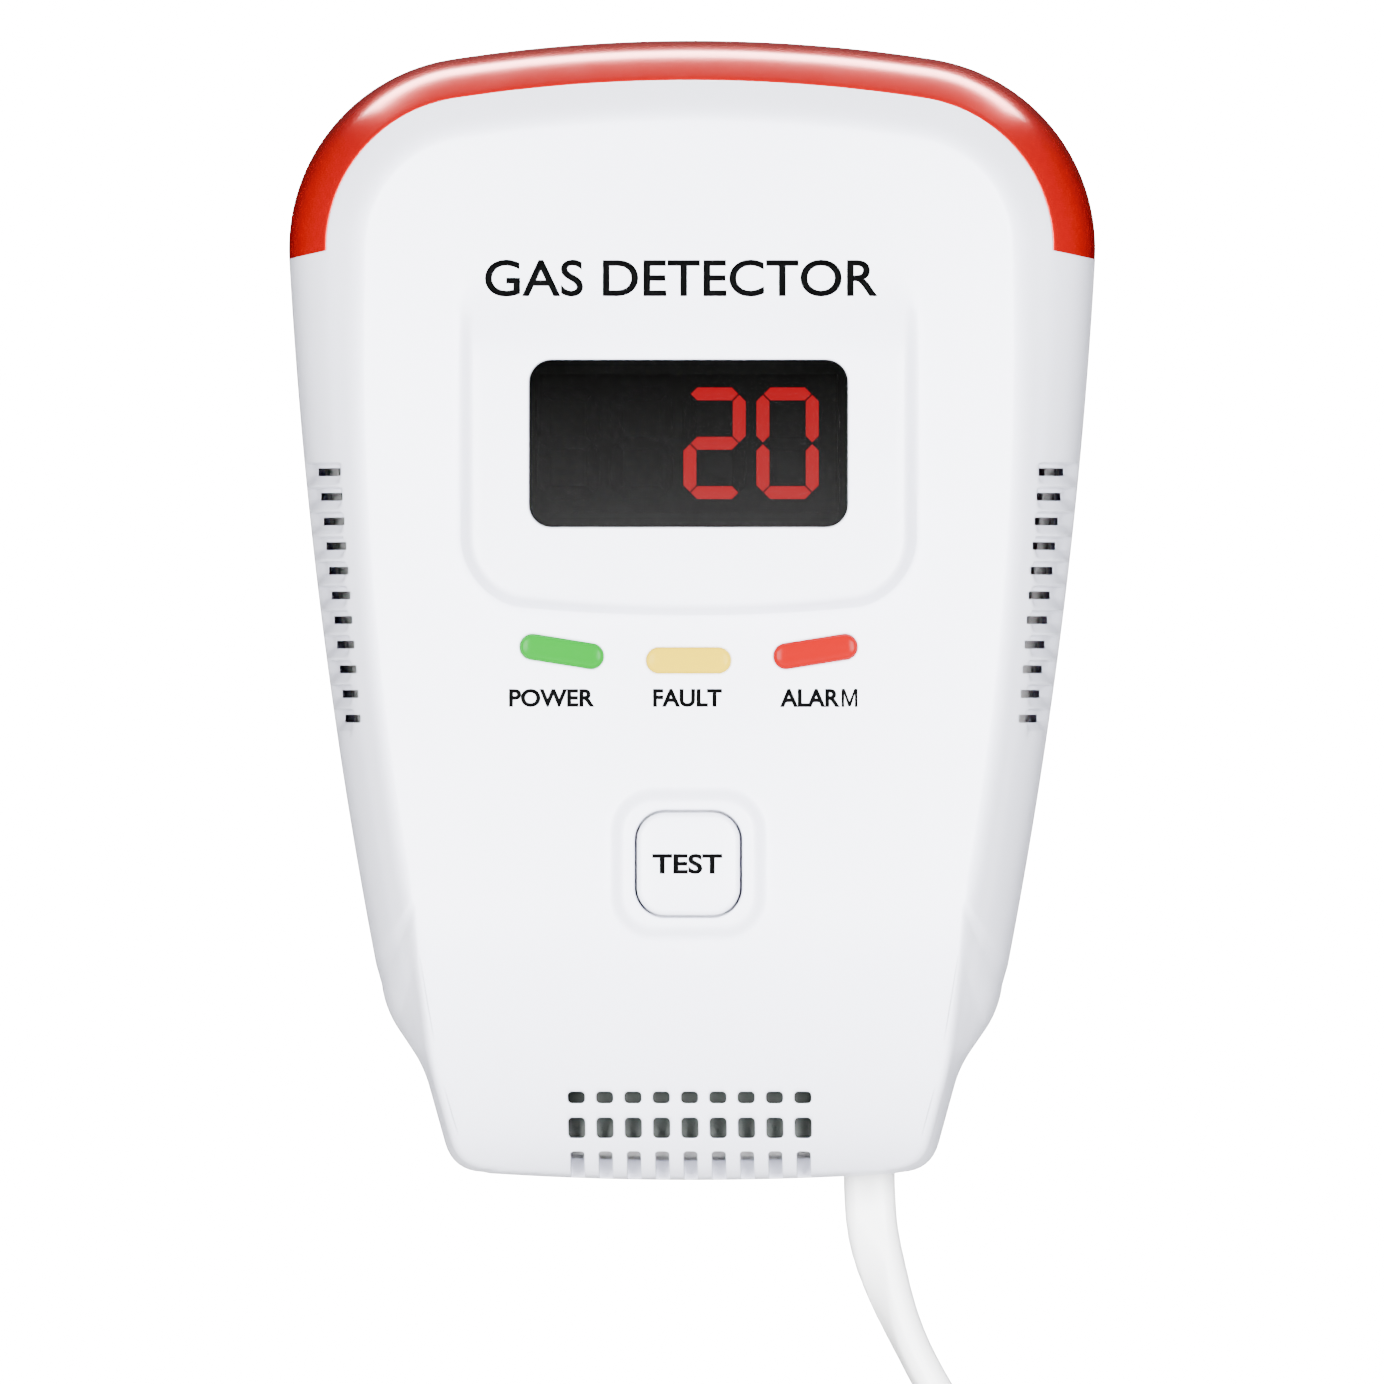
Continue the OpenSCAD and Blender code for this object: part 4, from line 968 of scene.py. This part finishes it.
def tie(angle):
    """A soft strap round the wound cord, with a small buckle on its outer side."""
    a = math.radians(angle)
    outward, forward = np.array([math.cos(a), math.sin(a), 0]), np.array([-math.sin(a), math.cos(a), 0])
    spans = ((-2, 0.15), (-1.85, 0.5), (-1.5, 0.62), (1.5, 0.62), (1.85, 0.5), (2, 0.15), (2, 0.0), (-2, 0.0))
    rings = []
    for across, grow in spans:
        p = ring_of(14.5 + 2 * grow, 15.8 + 2 * grow, 4.2 + grow, 8)
        rings.append(COIL_C + outward * COIL_R + p[:, :1] * outward + across * forward
                     + np.column_stack([np.zeros((len(p), 2)), p[:, 1]]))
    rings.append(rings[0])
    p, f = loft(rings, caps=(False, False))
    n = len(rings[0])
    last = (len(rings) - 1) * n
    band = p[:last], [tuple(v - last if v >= last else v for v in face) for face in f]
    buckle = ring_of(5.6, 4.8, 0.8, 6)
    block = [COIL_C + outward * (COIL_R + 7.5 + lift) + (k * buckle[:, :1]) * forward
             + np.column_stack([np.zeros((len(buckle), 2)), k * buckle[:, 1]])
             for lift, k in ((0, 1), (0.95, 1), (1.15, 0.9))]
    return [band, loft(block)]


def make_grommet():
    """A sleeve round the cord whose lower rim follows the curve of the foot."""
    spans = ((6.9, 5.0, 2.2, None), (7.3, 5.4, 2.5, 0.15), (7.3, 5.3, 2.4, 1.2), (8.0, 6.2, 2.9, 4.1),
             (8.2, 6.3, 3.0, 4.25), (8.2, 6.3, 3.0, 4.85), (7.8, 5.9, 2.8, 5.0), (5.7, 3.8, 1.7, 5.0),
             (5.5, 3.6, 1.6, 4.8), (5.5, 3.6, 1.6, 0.3), (5.9, 4.0, 1.8, None))
    rings = []
    for w, t, r, up in spans:
        p = ring_of(w, t, r, 10)
        x = CORD_X + p[:, 0]
        rings.append(np.column_stack([x, foot_z(x) + (0.03 if up is None else up), CORD_D + p[:, 1]]))
    rings.append(rings[0])
    p, f = loft(rings, caps=(False, False))
    last = (len(rings) - 1) * len(rings[0])
    return oriented([(p[:last], [tuple(v - last if v >= last else v for v in face) for face in f])])


thing("grommet_sleeve", *make_grommet(), HOUSING, replaces=("cord_grommet",), slot="housing_white")
TIE = surface("tie_rubber", (0.012, 0.012, 0.012), 0.6, vary=0.15, grain=1800, bump=0.3)
ties = thing("bundle_ties", *oriented([*tie(-2), *tie(200)]), TIE, replaces=("coil_ties",), slot="tie_black")

# ---- Pieces carried over from the CAD model ----------------------------------------------


def finish_nodes():
    """Gives each piece that comes from the CAD model its own material and soft shading."""
    board = surface("solder_mask", (0.008, 0.017, 0.012), 0.35, vary=0.15, grain=700, bump=0.1, blotch=300)
    cream = surface("led_resin", (0.6, 0.56, 0.42), 0.3, vary=0.05, grain=1500)
    can = surface("sensor_can", (0.22, 0.21, 0.19), 0.4, vary=0.08, grain=2500, bump=0.3,
                  sockets={"Metallic": 1.0})
    steel = surface("plated_steel", (0.5, 0.51, 0.53), 0.3, vary=0.06, grain=3000, bump=0.2,
                    sockets={"Metallic": 1.0})
    case = surface("black_moulding", (0.008, 0.008, 0.009), 0.5, vary=0.15, grain=1600, bump=0.2,
                   sockets={"Specular IOR Level": 0.15})
    mould = surface("white_moulding", (0.74, 0.74, 0.75), 0.45, vary=0.02, grain=2000)
    for names, material in (
            (("main_board",), board),
            (("indicator_leds", "strobe_leds"), cream),
            (("co_sensor", "gas_sensor"), can),
            (("board_screws", "cover_screws", "clamp_screws"), steel),
            (("display_module",), BLACK),
            (("switch_body", "microchips", "buzzer", "power_module"), case),
            (("cord_clamp",), mould),
            (("switch_plunger",), surface("plunger_red", (0.3, 0.02, 0.015), 0.45, vary=0.06, grain=1800)),
            (("capacitors",), surface("shrink_sleeve", (0.02, 0.03, 0.12), 0.25, vary=0.1, grain=900)),
            (("fuse",), surface("fuse_ceramic", (0.55, 0.53, 0.46), 0.5, vary=0.05, grain=1200)),
            (("terminal_block",), surface("terminal_green", (0.03, 0.16, 0.06), 0.5, vary=0.08, grain=1500)),
            (("lead_wires",), surface("wire_brown", (0.12, 0.05, 0.025), 0.45, vary=0.1, grain=1500)),
            (("rating_label",), surface("label_foil", (0.5, 0.5, 0.51), 0.35, vary=0.04, grain=2500,
                                        bump=0.1))):
        for name in names:
            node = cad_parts[name]
            node.data.materials.clear()
            node.data.materials.append(material)
            node.data.shade_smooth()
            node.data.set_sharp_from_angle(angle=math.radians(35))


finish_nodes()
cord, cord_path = make_cord()
